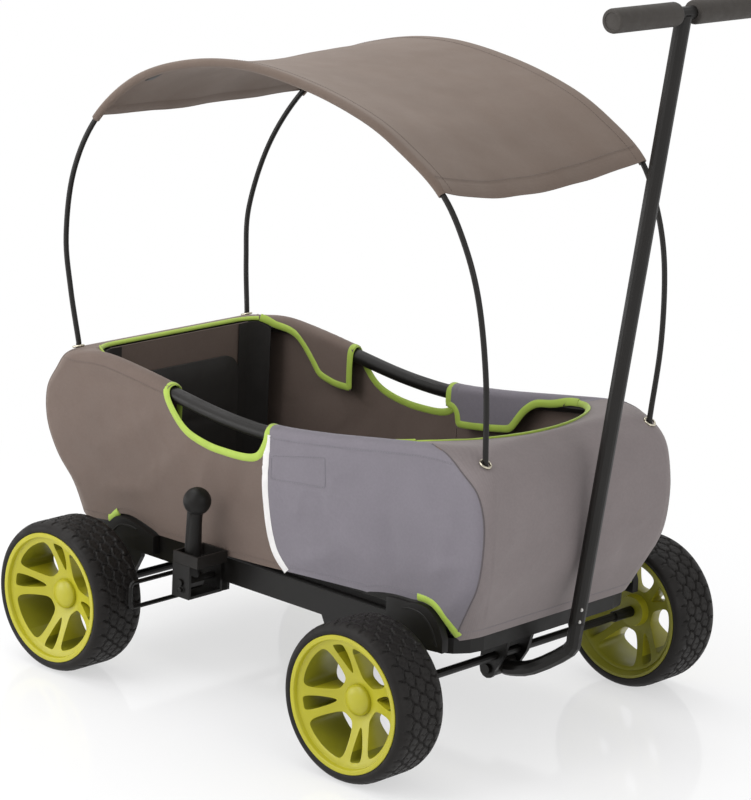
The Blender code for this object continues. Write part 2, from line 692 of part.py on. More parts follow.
def tow_bar(root, tow):
    """The bent lower tube, the long tube, the cross tube with its grips, and the pivot pin."""
    pivot = (WHEELBASE / 2 - PIVOT_SETBACK, 0.0, PIVOT_HEIGHT)
    run = (TOW_TOP[0] - TOW_JOINT[0], TOW_TOP[1] - TOW_JOINT[1])
    length = hypot(*run)
    lean = atan2(run[0], run[1])
    along = Vector((sin(lean), 0.0, cos(lean)))
    joint = Vector((TOW_JOINT[0], 0.0, TOW_JOINT[1]))
    knots = [(pivot[0] + 0.002, 0.0, pivot[2]), *[(x, 0.0, z) for x, z in TOW_BENDS]]
    knots = [*knots, joint - along * 0.020, joint]
    lower = as_mesh(put(tube("tow_bar_lower", smooth_path(knots, 3), TOW_TUBE_RADIUS, 3), tow, BLACK_PAINT))
    boss_half = YOKE_HALF_WIDTH - YOKE_WALL - 2 * GAP
    boss = rod("tow_boss", PIVOT_EYE - 0.001, -boss_half, boss_half, 20)
    spigot = rod("tow_spigot", SPIGOT_RADIUS, -0.010, SPIGOT_LENGTH)
    fuse(
        lower, tool(boss, root, pivot, (QUARTER, 0.0, 0.0)), tool(spigot, root, joint, (0.0, lean, 0.0))
    )
    pin_hole = rod("tow_pin_hole", PIVOT_PIN_RADIUS + RUNNING_FIT * 1.5, -0.05, 0.05)
    cut(lower, tool(pin_hole, root, pivot, (QUARTER, 0.0, 0.0)))

    bore = SPIGOT_RADIUS + RUNNING_FIT
    top = length - CROSS_TUBE_RADIUS * 0.2
    long_tube = turned("tow_bar_tube", [
        (0.0, top), (TOW_TUBE_RADIUS, top), (TOW_TUBE_RADIUS, GAP), (bore, GAP),
        (bore, top - 2 * TOW_TUBE_RADIUS), (0.0, top - 2 * TOW_TUBE_RADIUS),
    ], 16)
    put(long_tube, tow, BLACK_PAINT, joint, (0.0, lean, 0.0))
    handle = (TOW_TOP[0], 0.0, TOW_TOP[1])
    saddle = rod("tow_saddle", CROSS_TUBE_RADIUS + GAP, -0.03, 0.03)
    cut(long_tube, tool(saddle, root, handle, (QUARTER, 0.0, 0.0)))

    tube_end = HANDLE_HALF_LENGTH - GRIP_END_WALL - GAP
    cross = rod("tow_cross_tube", CROSS_TUBE_RADIUS, -tube_end, tube_end)
    put(cross, tow, BLACK_PAINT, handle, (QUARTER, 0.0, 0.0))
    grip_bore = CROSS_TUBE_RADIUS + RUNNING_FIT
    outer_end = HANDLE_HALF_LENGTH
    for side, word in SIDES:
        grip = turned("grip_" + word, [
            (0.0, outer_end), (GRIP_RADIUS - 0.003, outer_end), (GRIP_RADIUS, outer_end - 0.003),
            (GRIP_RADIUS, GRIP_INNER_END + 0.004), (GRIP_RADIUS - 0.003, GRIP_INNER_END),
            (grip_bore, GRIP_INNER_END), (grip_bore, outer_end - GRIP_END_WALL),
            (0.0, outer_end - GRIP_END_WALL),
        ])
        put(grip, tow, BLACK_FOAM, handle, (-side * QUARTER, 0.0, 0.0))

    end = YOKE_HALF_WIDTH + GAP
    head = end + KING_PIN_HEAD_THICKNESS
    half = [(0.0, head), (PIVOT_PIN_RADIUS * 1.8, head), (PIVOT_PIN_RADIUS * 1.8, end), (PIVOT_PIN_RADIUS, end)]
    pin = turned("tow_pin", half + [(radius, -height) for radius, height in reversed(half)], 14)
    put(pin, tow, STEEL, pivot, (QUARTER, 0.0, 0.0))


def brake(root, lever_axis, shoe_slide):
    """The hand lever on its cross shaft, and the rods that it pushes against the rear tyres."""
    x, z = BRAKE_AXIS
    place = (x, 0.0, z)
    lever_gap = LEVER_RADIUS + 0.0015
    bar_mid = PUSH_BAR_Y
    crank_mid = bar_mid - PUSH_BAR_THICKNESS - GAP
    crank_half = PUSH_BAR_THICKNESS / 2
    web_half = crank_half * 0.9
    shaft = rod("brake_shaft", BRAKE_SHAFT_RADIUS, -BASE_HALF_WIDTH, BRAKE_BRACKET_OUTER + 0.003)
    put(shaft, lever_axis, BLACK_PAINT, place, (QUARTER, 0.0, 0.0))
    crank_radius = BRAKE_SHAFT_RADIUS + 0.003
    for side, word in SIDES:
        disc = rod("crank_disc_" + word, crank_radius, -crank_half, crank_half)
        web = block(
            "crank_web_" + word, (x - 0.004, side * crank_mid - web_half, z - CRANK_THROW - 0.004),
            (x + 0.004, side * crank_mid + web_half, z)
        )
        pin = rod("crank_pin_" + word, CRANK_PIN_RADIUS, -PUSH_BAR_THICKNESS * 0.8, PUSH_BAR_THICKNESS * 0.8)
        fuse(
            shaft, tool(disc, root, (x, side * crank_mid, z), (QUARTER, 0.0, 0.0)), tool(web, root),
            tool(pin, root, (x, side * (crank_mid + crank_half), z - CRANK_THROW), (QUARTER, 0.0, 0.0))
        )

    lever = turned("brake_lever", [
        (0.0, LEVER_LENGTH + 0.003), (LEVER_RADIUS * 0.8, LEVER_LENGTH + 0.003), (LEVER_RADIUS, 0.030),
        (LEVER_RADIUS, 0.0), (0.0, 0.0),
    ])
    put(lever, lever_axis, BLACK_PLASTIC, (x, -LEVER_Y, z))
    hub = rod("lever_hub", LEVER_HUB_RADIUS, -lever_gap, lever_gap)
    fuse(lever, tool(hub, root, (x, -LEVER_Y, z), (QUARTER, 0.0, 0.0)))
    bore = rod("lever_bore", BRAKE_SHAFT_RADIUS + RUNNING_FIT, -0.03, 0.03)
    cut(lever, tool(bore, root, (x, -LEVER_Y, z), (QUARTER, 0.0, 0.0)))

    knob_place = (x, -LEVER_Y, z + LEVER_LENGTH + KNOB_RADIUS * 0.9)
    knob = turned("brake_knob", [*ball_profile(KNOB_RADIUS, 10)], 20)
    put(knob, lever_axis, BLACK_PLASTIC, knob_place)
    socket = rod("knob_socket", LEVER_RADIUS * 0.8 + 0.001, -KNOB_RADIUS * 1.2, -KNOB_RADIUS * 0.9 + 0.003 + GAP)
    cut(knob, tool(socket, root, knob_place))

    inner = BASE_HALF_WIDTH + GAP
    outer = BRAKE_BRACKET_OUTER
    top = GUIDE_BOTTOM - GAP
    section = [
        (-outer, top), (-outer, BRAKE_BRACKET_BOTTOM), (-inner, BRAKE_BRACKET_BOTTOM), (-inner, BASE_TOP - 0.006),
        (-inner - BRACKET_WALL, BASE_TOP - 0.006), (-inner - BRACKET_WALL, BRAKE_BRACKET_BOTTOM + BRACKET_WALL),
        (-outer + BRACKET_WALL, BRAKE_BRACKET_BOTTOM + BRACKET_WALL), (-outer + BRACKET_WALL, top),
    ]
    bracket = plate("brake_bracket", section, 2 * BRAKE_BRACKET_HALF_LENGTH)
    bracket = as_mesh(put(bracket, root, BLACK_PAINT, (x, 0.0, 0.0), (QUARTER, 0.0, QUARTER)))
    hole = rod("brake_bracket_hole", BRAKE_SHAFT_RADIUS + 2 * RUNNING_FIT, LEVER_Y - 0.06, LEVER_Y + 0.06)
    cut(bracket, tool(hole, root, place, (QUARTER, 0.0, 0.0)))

    back = -BASE_HALF_WIDTH - 0.007
    frame = rectangle(GUIDE_REAR, GUIDE_FRONT, -outer, back)
    slot = rectangle(GUIDE_REAR + GUIDE_WALL, GUIDE_FRONT - GUIDE_WALL, -outer + GUIDE_WALL, back - GUIDE_WALL)
    guide = plate("brake_guide", frame, GUIDE_TOP - GUIDE_BOTTOM, [slot])
    put(guide, root, GREY_PLASTIC, (0.0, 0.0, (GUIDE_TOP + GUIDE_BOTTOM) / 2))

    tread_front = TYRE_RADIUS - WHEELBASE / 2
    rod_x = tread_front + SHOE_GAP + SHOE_ROD_RADIUS
    low, high = SHOE_HEIGHTS
    for side, word in SIDES:
        legs = [
            (rod_x, side * bar_mid, low), (rod_x, side * (SHOE_REACH - 0.006), low),
            (rod_x, side * (SHOE_REACH - 0.002), low + 0.002), (rod_x, side * SHOE_REACH, low + 0.006),
            (rod_x, side * SHOE_REACH, high - 0.006), (rod_x, side * (SHOE_REACH - 0.002), high - 0.002),
            (rod_x, side * (SHOE_REACH - 0.006), high), (rod_x, side * bar_mid, high),
        ]
        shoe = as_mesh(put(tube("brake_shoe_" + word, legs, SHOE_ROD_RADIUS), shoe_slide, BLACK_PAINT))
        profile = [
            (rod_x - 0.006, low - 0.006), (rod_x + 0.010, low - 0.006), (x + 0.008, z - 0.026),
            (x + 0.008, z - 0.0052), (x - 0.012, z - 0.0052), (rod_x - 0.006, high + 0.006),
        ]
        pin_slot = rectangle(
            x - CRANK_PIN_RADIUS - 0.001, x + CRANK_PIN_RADIUS + 0.001, z - CRANK_THROW - 0.003,
            z - CRANK_THROW + 0.0035
        )
        bar = plate("push_bar_" + word, profile, PUSH_BAR_THICKNESS, [pin_slot])
        fuse(shoe, mesh_tool(bar, root, (0.0, side * bar_mid, 0.0), (QUARTER, 0.0, 0.0)))


def rectangle(x0, x1, y0, y1):
    """Corners of a rectangle."""
    return [(x0, y0), (x1, y0), (x1, y1), (x0, y1)]


def ball_profile(radius, count):
    """Half circle from the top of a ball to its bottom."""
    return [(max(radius * sin(pi * k / count), 0.0) if 0 < k < count else 0.0, radius * cos(pi * k / count))
            for k in range(count + 1)]


def rail_height(x):
    """Centre height of the rail at x."""
    return between(RIM_HEIGHTS, x) - RIM_ABOVE_RAIL


def rail_path():
    """Centre line of the rail, with extra points along its sagging sides."""
    loop = rounded_loop(RAIL_REAR, RAIL_FRONT, RAIL_HALF_WIDTH, RAIL_CORNER, 4)
    sides = [x for x, _ in RIM_HEIGHTS if RAIL_REAR + RAIL_CORNER < x < RAIL_FRONT - RAIL_CORNER]
    near = [(x, -RAIL_HALF_WIDTH) for x in sides]
    far = [(x, RAIL_HALF_WIDTH) for x in reversed(sides)]
    plan = loop[:4] + near + loop[4:12] + far + loop[12:]
    return [(px, py, rail_height(px)) for px, py in plan]


def top_frame(root, top):
    """The rail, with the head plates of the scissors and the four pole sockets welded on."""
    rail = as_mesh(put(tube("top_rail", rail_path(), RAIL_RADIUS, 2, closed=True), top, BLACK_PAINT))
    for inward, rail_x in ((1, RAIL_REAR), (-1, RAIL_FRONT)):
        fuse(rail, *head_plate(inward, rail_x, root))
    into_corner = POLE_FOOT_Y - (RAIL_HALF_WIDTH - RAIL_CORNER)
    for x, inward, end in ((REAR_POLE_X, 1, "rear"), (FRONT_POLE_X, -1, "front")):
        rail_x = RAIL_REAR if inward > 0 else RAIL_FRONT
        upper = rail_height(x) - 0.002
        outside = x - inward * (BOW_RADIUS + 0.003)
        inside = rail_x + inward * (RAIL_CORNER - (RAIL_CORNER ** 2 - into_corner ** 2) ** 0.5)
        for side, word in SIDES:
            low = (min(outside, inside), side * POLE_FOOT_Y - SOCKET_HALF_WIDTH, upper - SOCKET_HEIGHT)
            high = (max(outside, inside), side * POLE_FOOT_Y + SOCKET_HALF_WIDTH, upper)
            bore = rod("pole_bore", BOW_RADIUS + 0.0006, 0.0, 1.0, 12)
            fuse(rail, tool(block(f"{end}_pole_socket_{word}", low, high), root))
            cut(rail, tool(bore, root, (x, side * POLE_FOOT_Y, 0.0)))


def layer(inward, rail_x, number):
    """Middle of one of the four stacked layers at an end: foot plate, arm, arm, head plate."""
    outermost = rail_x - inward * 0.001
    pitch = ARM_THICKNESS + GAP
    return outermost + inward * (ARM_THICKNESS / 2 + pitch * number)


def arm_slot():
    """The long hole in which an arm's free end slides, in the plane of the scissors."""
    rest = ARM_PIVOT_Y + (ARM_LENGTH ** 2 - (ARM_HEAD_Z - ARM_FOOT_Z) ** 2) ** 0.5
    low_rise = ARM_HEAD_Z - ARM_FOOT_Z - TUB_TRAVEL
    lowered = ARM_PIVOT_Y + (ARM_LENGTH ** 2 - low_rise ** 2) ** 0.5
    half = ARM_PIN_RADIUS + ARM_LOOSE_FIT
    return rest - half, lowered + half, half


def guide_plate(name, low, high, pivot_z, x):
    """A plate in the scissors' plane with the long hole of one arm."""
    slot_start, slot_end, half = arm_slot()
    outline = rectangle(ARM_PIVOT_Y - ARM_HALF_WIDTH, slot_end + 0.004, low, high)
    hole = rectangle(slot_start, slot_end, pivot_z - half, pivot_z + half)
    made = plate(name, outline, ARM_THICKNESS, [hole])
    made.location = (x, 0.0, 0.0)
    return made


def pivot_stub(name, inward, x, z, root):
    """The pin that stands out of a guide plate and carries one arm."""
    reach = ARM_THICKNESS * 1.5 + GAP * 0.6
    stub = rod(name, ARM_PIN_RADIUS, -ARM_THICKNESS / 2, reach)
    return tool(stub, root, (x, ARM_PIVOT_Y, z), (0.0, inward * QUARTER, 0.0))


def head_plate(inward, rail_x, root):
    """The plate under the end of the rail, as shapes to weld onto it."""
    end = "rear" if inward > 0 else "front"
    x = layer(inward, rail_x, 3)
    low = ARM_HEAD_Z - GUIDE_PLATE_RISE
    body = guide_plate(end + "_head_plate", low, rail_height(rail_x), ARM_HEAD_Z, x)
    body = mesh_tool(body, root, (x, 0.0, 0.0), (QUARTER, 0.0, QUARTER))
    return body, pivot_stub(end + "_head_stub", -inward, x, ARM_HEAD_Z, root)


def scissor(inward, rail_x, root, top):
    """Foot plate and the two crossed arms at one end of the tub."""
    end = "rear" if inward > 0 else "front"
    floor = BASE_TOP if inward > 0 else FRONT_BAND_TOP
    foot_x = layer(inward, rail_x, 0)
    foot = guide_plate(end + "_foot_plate", floor + GAP, ARM_FOOT_Z + GUIDE_PLATE_RISE, ARM_FOOT_Z, foot_x)
    foot = as_mesh(put(foot, root, BLACK_PAINT, (foot_x, 0.0, 0.0), (QUARTER, 0.0, QUARTER)))
    fuse(foot, pivot_stub(end + "_foot_stub", inward, foot_x, ARM_FOOT_Z, root))

    rise = ARM_HEAD_Z - ARM_FOOT_Z
    tilt = atan2(rise, (ARM_LENGTH ** 2 - rise ** 2) ** 0.5)
    outline = circle((0.0, 0.0), ARM_HALF_WIDTH, 7, pi / 2, pi)
    outline = outline + circle((ARM_LENGTH, 0.0), ARM_HALF_WIDTH, 7, -pi / 2, pi)
    pivot_hole = circle((0.0, 0.0), ARM_PIN_RADIUS + RUNNING_FIT * 1.5, 12)
    middle_hole = circle((ARM_LENGTH / 2, 0.0), ARM_PIN_RADIUS + ARM_LOOSE_FIT, 14)
    arms = (("rising", 1, 1, ARM_FOOT_Z, tilt, root), ("falling", 2, -1, ARM_HEAD_Z, -tilt, top))
    for word, number, outward, z, angle, holder in arms:
        x = layer(inward, rail_x, number)
        axis = axis_at(f"{end}_{word}_arm_axis", (x, ARM_PIVOT_Y, z), holder)
        holes = [pivot_hole, middle_hole] if word == "falling" else [pivot_hole]
        arm = plate(
            f"{end}_{word}_arm", turned_plan(outline, angle), ARM_THICKNESS,
            [turned_plan(hole, angle) for hole in holes]
        )
        arm = as_mesh(put(arm, axis, BLACK_PAINT, (x, ARM_PIVOT_Y, z), (QUARTER, 0.0, QUARTER)))
        way = inward * outward
        tip = (x, ARM_PIVOT_Y + ARM_LENGTH * cos(angle), z + ARM_LENGTH * sin(angle))
        long_pin = rod(f"{end}_{word}_tip_pin", ARM_PIN_RADIUS, 0.0, ARM_THICKNESS * 2.5 + GAP * 3)
        fuse(arm, tool(long_pin, root, tip, (0.0, way * QUARTER, 0.0)))
        if word == "rising":
            centre = (x, ARM_PIVOT_Y + ARM_LENGTH / 2 * cos(angle), z + ARM_LENGTH / 2 * sin(angle))
            short_pin = rod(f"{end}_centre_pin", ARM_PIN_RADIUS, 0.0, ARM_THICKNESS * 1.5 + GAP)
            fuse(arm, tool(short_pin, root, centre, (0.0, way * QUARTER, 0.0)))


# Outer skin of the tub from hem to flap: rear x, front x, outset from the base's side, plan corner
# radius at the rear and at the front, height, share of the front corner at which its seam lies, and
# the drop of the cloth at the front corners. The height is from the ground or, where it is negative,
# below the rim there
LEVELS = tuple((along(rear), along(front), BASE_HALF_WIDTH + outset, *rest) for rear, front, outset, *rest in (
    (-0.400, 0.3645, 0.002, 0.055, 0.055, "hem", 0.50, 0.0),
    (-0.411, 0.386, 0.004, 0.035, 0.035, 0.234, 0.50, 0.0),
    (-0.438, 0.401, 0.005, 0.022, 0.024, 0.272, 0.50, 0.0),
    (-0.458, 0.406, 0.005, 0.014, 0.018, 0.318, 0.50, 0.0),
    (-0.463, 0.405, 0.005, 0.018, 0.020, 0.366, 0.50, 0.003),
    (-0.449, 0.398, 0.005, 0.028, 0.028, -0.036, 0.50, 0.011),
    (-0.433, 0.391, 0.005, 0.030, 0.030, -0.013, 0.42, 0.018),
    (-0.418, 0.380, 0.0012, 0.036, 0.036, -0.0035, 0.28, 0.014),
    (-0.400, 0.358, -0.008, 0.045, 0.047, 0.0, 0.16, 0.0),
    (-0.386, 0.341, -0.0172, 0.042, 0.070, -0.0035, 0.12, 0.0),
    (-0.378, 0.334, -0.021, 0.040, 0.095, -0.013, 0.10, 0.0),
    (-0.378, 0.334, -0.021, 0.040, 0.095, "flap", 0.10, 0.0),
))
DROP_START = along(0.300)
DROP_LENGTH = 0.070
DROP_INSIDE = BASE_HALF_WIDTH - 0.0215
DROP_WIDTH = 0.020
REAR_SHARES = (0.0, 0.13, 0.20, 0.25, 0.45, 0.70, 1.0)
FRONT_SHARES = (0.0, 0.07, 0.37, 0.45, 0.53, 0.69, 0.85, 1.0)


def ramp(value):
    """0 before 0, 1 past 1, and a smooth rise between."""
    value = min(max(value, 0.0), 1.0)
    return value * value * (3 - 2 * value)


def skin_point(level, station):
    """One point of the tub's outer surface on the near half."""
    rear, front, half_width, rear_corner, front_corner, height, seam, drop = level
    zone, share = station
    split = between(STRIPE, height) if isinstance(height, float) and height > 0 else STRIPE[-1][1]
    if height == "hem":
        split = STRIPE[0][1]
    corner = rear_corner if "rear" in zone else front_corner
    slack = SEAM_GAP / corner
    if zone == "side_rear":
        start = rear + corner
        x = start + (split - SEAM_GAP - start) * share
        y = -half_width
    elif zone == "side_front":
        start = split + SEAM_GAP
        x = start + (front - corner - start) * share
        y = -half_width
    elif zone == "rear_end":
        x = rear
        y = (half_width - corner) * share
    elif zone == "front_end":
        x = front
        y = (half_width - corner) * share
    else:
        angle = share * pi / 2
        if "front" in zone:
            on_side = share < 0.5 or (share == 0.5 and "side" in zone)
            angle = (seam * share if on_side else seam / 2 + (1 - seam) * (share - 0.5)) * pi
        if share == 0.5:
            angle = angle + (slack if zone in ("front_turn", "rear_turn") else -slack)
        x = front - corner + corner * sin(angle)
        if "rear" in zone:
            x = rear + corner - corner * sin(angle)
        y = -half_width + corner - corner * cos(angle)
    rim = between(RIM_HEIGHTS, x)
    if height == "hem":
        z = between(HEM_HEIGHTS, x)
    elif height == "flap":
        z = min(rim - 0.017, between(FLAP_HEIGHTS, x))
    elif height > 0:
        z = height
    else:
        z = rim + height
    at_corner = ramp((x - DROP_START) / DROP_LENGTH) * ramp((abs(y) - DROP_INSIDE) / DROP_WIDTH)
    return x, y, z - drop * at_corner


def skin(name, stations, mirrored, look, holder):
    """A panel of cloth through the given stations, thickened inwards."""
    bm = bmesh.new()
    columns = []
    for station in stations:
        column = []
        for level in LEVELS:
            x, y, z = skin_point(level, station)
            column.append(bm.verts.new((x, -y if mirrored else y, z)))
        columns.append(column)
    for left, right in zip(columns, columns[1:]):
        for k in range(len(LEVELS) - 1):
            face = [left[k], right[k], right[k + 1], left[k + 1]]
            bm.faces.new(face[::-1] if mirrored else face)
    panel = mesh_object(name, bm)
    thick = panel.modifiers.new("Cloth", "SOLIDIFY")
    thick.thickness = CLOTH
    thick.offset = -1.0
    return put(panel, holder, look)


def housing_notch(name, rear, front, root):
    """A cutter, right through the tub, for the opening over a pair of housings."""
    through = plate(name, housing_outline(rear, front, NOTCH_MARGIN), 4 * BASE_HALF_WIDTH)
    return mesh_tool(through, root, (0.0, 0.0, 0.0), (QUARTER, 0.0, 0.0))


def tub_cloth(root):
    """Six sewn panels of the tub, from the hem over the rail to the inner flaps, and the pad."""
    rear_side = [("rear_turn_side", 0.5), ("rear_turn_side", 0.25)]
    rear_side = rear_side + [("side_rear", share) for share in REAR_SHARES]
    front_side = [("side_front", share) for share in FRONT_SHARES]
    front_side = front_side + [("front_turn_side", 0.25), ("front_turn_side", 0.5)]
    reach = 2 * HOUSING_OUTER
    grip_tool = mesh_tool(plate("hand_opening", HAND_OPENING, reach), root, (0.0, 0.0, 0.0), (QUARTER, 0.0, 0.0))
    rear_notch = housing_notch("rear_notch", *HOUSINGS[0], root)
    front_notch = housing_notch("front_notch", *HOUSINGS[1], root)
    for side, word in SIDES:
        mirrored = side > 0
        panel = skin("side_cloth_rear_" + word, rear_side, mirrored, TAUPE_CLOTH, root)
        cut(panel, grip_tool, rear_notch)
        panel = skin("side_cloth_front_" + word, front_side, mirrored, GREY_CLOTH, root)
        cut(panel, front_notch)
    front_panel = end_panel("front_cloth", "front", GREY_CLOTH, root)
    cut(front_panel, front_notch)
    end_panel("rear_cloth", "rear", TAUPE_CLOTH, root)

    bottom = BASE_TOP + FLOOR_THICKNESS + 2 * GAP
    outline = [(-PAD_HALF_WIDTH, bottom), (PAD_HALF_WIDTH, bottom)]
    outline = outline + circle((PAD_HALF_WIDTH - PAD_CORNER, PAD_TOP - PAD_CORNER), PAD_CORNER, 5, 0.0, pi / 2)
    outline = outline + circle((PAD_CORNER - PAD_HALF_WIDTH, PAD_TOP - PAD_CORNER), PAD_CORNER, 5, pi / 2, pi / 2)
    pad = plate("rear_pad", outline, PAD_THICKNESS)
    put(pad, root, BLACK_CLOTH, (PAD_FRONT - PAD_THICKNESS / 2, 0.0, 0.0), (QUARTER, 0.0, QUARTER))


def end_panel(name, end, look, root):
    """The cloth round one end, with its pole holes."""
    turn = end + "_turn"
    if end == "front":
        stations = [(turn, 0.5), (turn, 0.75), (turn, 1.0), ("front_end", -0.4), ("front_end", 0.0)]
    else:
        stations = [("rear_end", 0.0), ("rear_end", -0.4), (turn, 1.0), (turn, 0.75), (turn, 0.5)]
    bm = bmesh.new()
    columns = []
    near = [[skin_point(level, station) for level in LEVELS] for station in stations]
    far = [[(x, -y, z) for x, y, z in column] for column in near]
    rounds = near + far[-2::-1] if end == "front" else far[:0:-1] + near
    for column in rounds:
        columns.append([bm.verts.new(point) for point in column])
    for left, right in zip(columns, columns[1:]):
        for k in range(len(LEVELS) - 1):
            bm.faces.new((left[k], right[k], right[k + 1], left[k + 1]))
    panel = mesh_object(name, bm)
    thick = panel.modifiers.new("Cloth", "SOLIDIFY")
    thick.thickness = CLOTH
    thick.offset = -1.0
    put(panel, root, look)
    pole_x = FRONT_POLE_X if end == "front" else REAR_POLE_X
    for side, word in SIDES:
        hole = rod(f"{end}_grommet_hole_{word}", BOW_RADIUS + 0.0015, POLE_STRAIGHT_TOP - 0.035, 0.5, 12)
        cut(panel, tool(hole, root, (pole_x, side * POLE_FOOT_Y, 0.0)))
    return panel


def bow_path(side):
    """Centre line of one canopy bow, foot to foot."""
    bend = [(REAR_POLE_X, POLE_FOOT_Y, POLE_STRAIGHT_TOP), *BOW_POINTS]
    bend = bend + [(FRONT_POLE_X, POLE_FOOT_Y, POLE_STRAIGHT_TOP)]
    path = smooth_path(bend, 2)
    path = [Vector((REAR_POLE_X, POLE_FOOT_Y, REAR_POLE_FOOT)), *path]
    path = [*path, Vector((FRONT_POLE_X, POLE_FOOT_Y, FRONT_POLE_FOOT))]
    return [Vector((p.x, side * p.y, p.z)) for p in path]


def canopy(root, lift):
    """Two bows and the sheet that is stretched over them."""
    for side, word in SIDES:
        put(tube("canopy_bow_" + word, bow_path(side), BOW_RADIUS), lift, BLACK_PAINT)
    crown = [p for p in bow_path(1) if SHEET_REAR - 0.012 < p.x < SHEET_FRONT + 0.004 and p.z > SHEET_LOWEST]
    lift_off = BOW_RADIUS + CLOTH + 0.0012
    bm = bmesh.new()
    columns = []
    for k, p in enumerate(crown):
        before = crown[max(k - 1, 0)]
        after = crown[min(k + 1, len(crown) - 1)]
        slope = (after - before).normalized()
        up = Vector((-slope.z, 0.0, slope.x)).normalized()
        ahead = (p.x - SHEET_REAR) / (SHEET_FRONT - SHEET_REAR)
        sag = SHEET_FRONT_SAG * max(ahead, 0.0) ** 3 + SHEET_REAR_SAG * max(1.0 - ahead, 0.0) ** 3
        column = []
        for share in (-1.0, -0.66, -0.33, 0.0, 0.33, 0.66, 1.0):
            sink = sag * (1 - share * share)
            column.append(p + up * lift_off + Vector((0.0, share * p.y - p.y, -sink)))
        edge = p.y + SHEET_OVERHANG
        lip = p + up * (lift_off - 0.003)
        fold = p - up * (BOW_RADIUS + 0.004)
        near = [Vector((fold.x, -edge, fold.z)), Vector((lip.x, -edge, lip.z))]
        far = [Vector((lip.x, edge, lip.z)), Vector((fold.x, edge, fold.z))]
        columns.append([bm.verts.new(point) for point in (*near, *column, *far)])
    for left, right in zip(columns, columns[1:]):
        for k in range(len(left) - 1):
            bm.faces.new((left[k], right[k], right[k + 1], left[k + 1]))
    sheet = mesh_object("canopy_sheet", bm)
    thick = sheet.modifiers.new("Cloth", "SOLIDIFY")
    thick.thickness = CLOTH
    thick.offset = -1.0
    put(sheet, lift, TAUPE_CLOTH)


SIDES = ((-1, "near"), (1, "far"))

for leftover in list(bpy.data.objects):
    bpy.data.objects.remove(leftover)

WAGON = collection_of("folding_wagon")
CUTTERS = collection_of("cutters")

BLACK_PAINT = finish("Black powder coat", (0.012, 0.011, 0.010), 0.42)
BLACK_PLASTIC = finish("Black moulded plastic", (0.015, 0.014, 0.013), 0.50)
GREY_PLASTIC = finish("Dark grey plastic", (0.045, 0.043, 0.040), 0.50)
GREEN_PLASTIC = finish("Lime moulded plastic", (0.520, 0.530, 0.010), 0.38)
RUBBER = finish("Tyre rubber", (0.014, 0.013, 0.013), 0.70)
BLACK_FOAM = finish("Black grip foam", (0.020, 0.019, 0.018), 0.85)
STEEL = finish("Zinc plated steel", (0.550, 0.550, 0.540), 0.35, 1.0)
TAUPE_CLOTH = finish("Taupe polyester cloth", (0.158, 0.120, 0.098), 0.90)
GREY_CLOTH = finish("Grey polyester cloth", (0.195, 0.180, 0.190), 0.90)
BLACK_CLOTH = finish("Black lining cloth", (0.012, 0.011, 0.010), 0.90)

FOREMOST = TOW_TOP[0] + GRIP_RADIUS
REARMOST = min(level[0] for level in LEVELS)
WAGON_ROOT = bpy.data.objects.new("wagon", None)
WAGON.objects.link(WAGON_ROOT)
WAGON_ROOT.location = (-(FOREMOST + REARMOST) / 2, 0.0, 0.0)

STEER = axis_at("steering_axis", (WHEELBASE / 2, 0.0, 0.0), WAGON_ROOT)
TOW = axis_at("tow_bar_axis", (WHEELBASE / 2 - PIVOT_SETBACK, 0.0, PIVOT_HEIGHT), STEER)
LEVER = axis_at("brake_axis", (BRAKE_AXIS[0], 0.0, BRAKE_AXIS[1]), WAGON_ROOT)
SHOES = axis_at("brake_slide", (BRAKE_AXIS[0], 0.0, BRAKE_AXIS[1] - CRANK_THROW), WAGON_ROOT)
TOP = axis_at("tub_lowering_slide", (0.0, 0.0, rail_height(0.0)), WAGON_ROOT)
LIFT = axis_at("canopy_slide", (0.0, 0.0, POLE_STRAIGHT_TOP), TOP)

base_frame(WAGON_ROOT)
rear_axle(WAGON_ROOT)
for where, carrier in (("rear", WAGON_ROOT), ("front", STEER)):
    for which, label in SIDES:
        wheel(where, which, label, carrier, 1 if where == "front" else 0)
steering(WAGON_ROOT, STEER)
tow_bar(WAGON_ROOT, TOW)
brake(WAGON_ROOT, LEVER, SHOES)
top_frame(WAGON_ROOT, TOP)
scissor(1, RAIL_REAR, WAGON_ROOT, TOP)
scissor(-1, RAIL_FRONT, WAGON_ROOT, TOP)
tub_cloth(WAGON_ROOT)
canopy(WAGON_ROOT, LIFT)
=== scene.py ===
# Folding wagon dressed for the render: sewn tub, canopy, moulded wheels, frame, brake and tow bar
from math import cos, exp, pi, radians, sin, sqrt

import bmesh
import bpy
from mathutils import Matrix, Vector, noise
from mathutils.bvhtree import BVHTree


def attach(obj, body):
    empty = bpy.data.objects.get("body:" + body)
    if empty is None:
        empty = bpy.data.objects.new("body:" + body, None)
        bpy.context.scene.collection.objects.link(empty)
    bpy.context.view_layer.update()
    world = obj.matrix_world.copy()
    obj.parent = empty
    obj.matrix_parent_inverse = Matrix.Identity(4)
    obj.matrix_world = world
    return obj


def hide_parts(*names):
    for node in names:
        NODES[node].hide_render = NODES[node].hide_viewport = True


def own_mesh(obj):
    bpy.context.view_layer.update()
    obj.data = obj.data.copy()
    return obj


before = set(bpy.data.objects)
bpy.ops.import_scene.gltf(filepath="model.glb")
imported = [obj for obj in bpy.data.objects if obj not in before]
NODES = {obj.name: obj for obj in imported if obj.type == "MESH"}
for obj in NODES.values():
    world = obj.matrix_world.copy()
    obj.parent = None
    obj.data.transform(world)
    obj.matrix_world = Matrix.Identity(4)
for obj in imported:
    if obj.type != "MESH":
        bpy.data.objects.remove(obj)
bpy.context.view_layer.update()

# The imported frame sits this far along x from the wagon's own drawing, whose zero is midway between
# the axles. Every length below is in metres on that drawing
ORIGIN_X = -0.0344
QUARTER = pi / 2
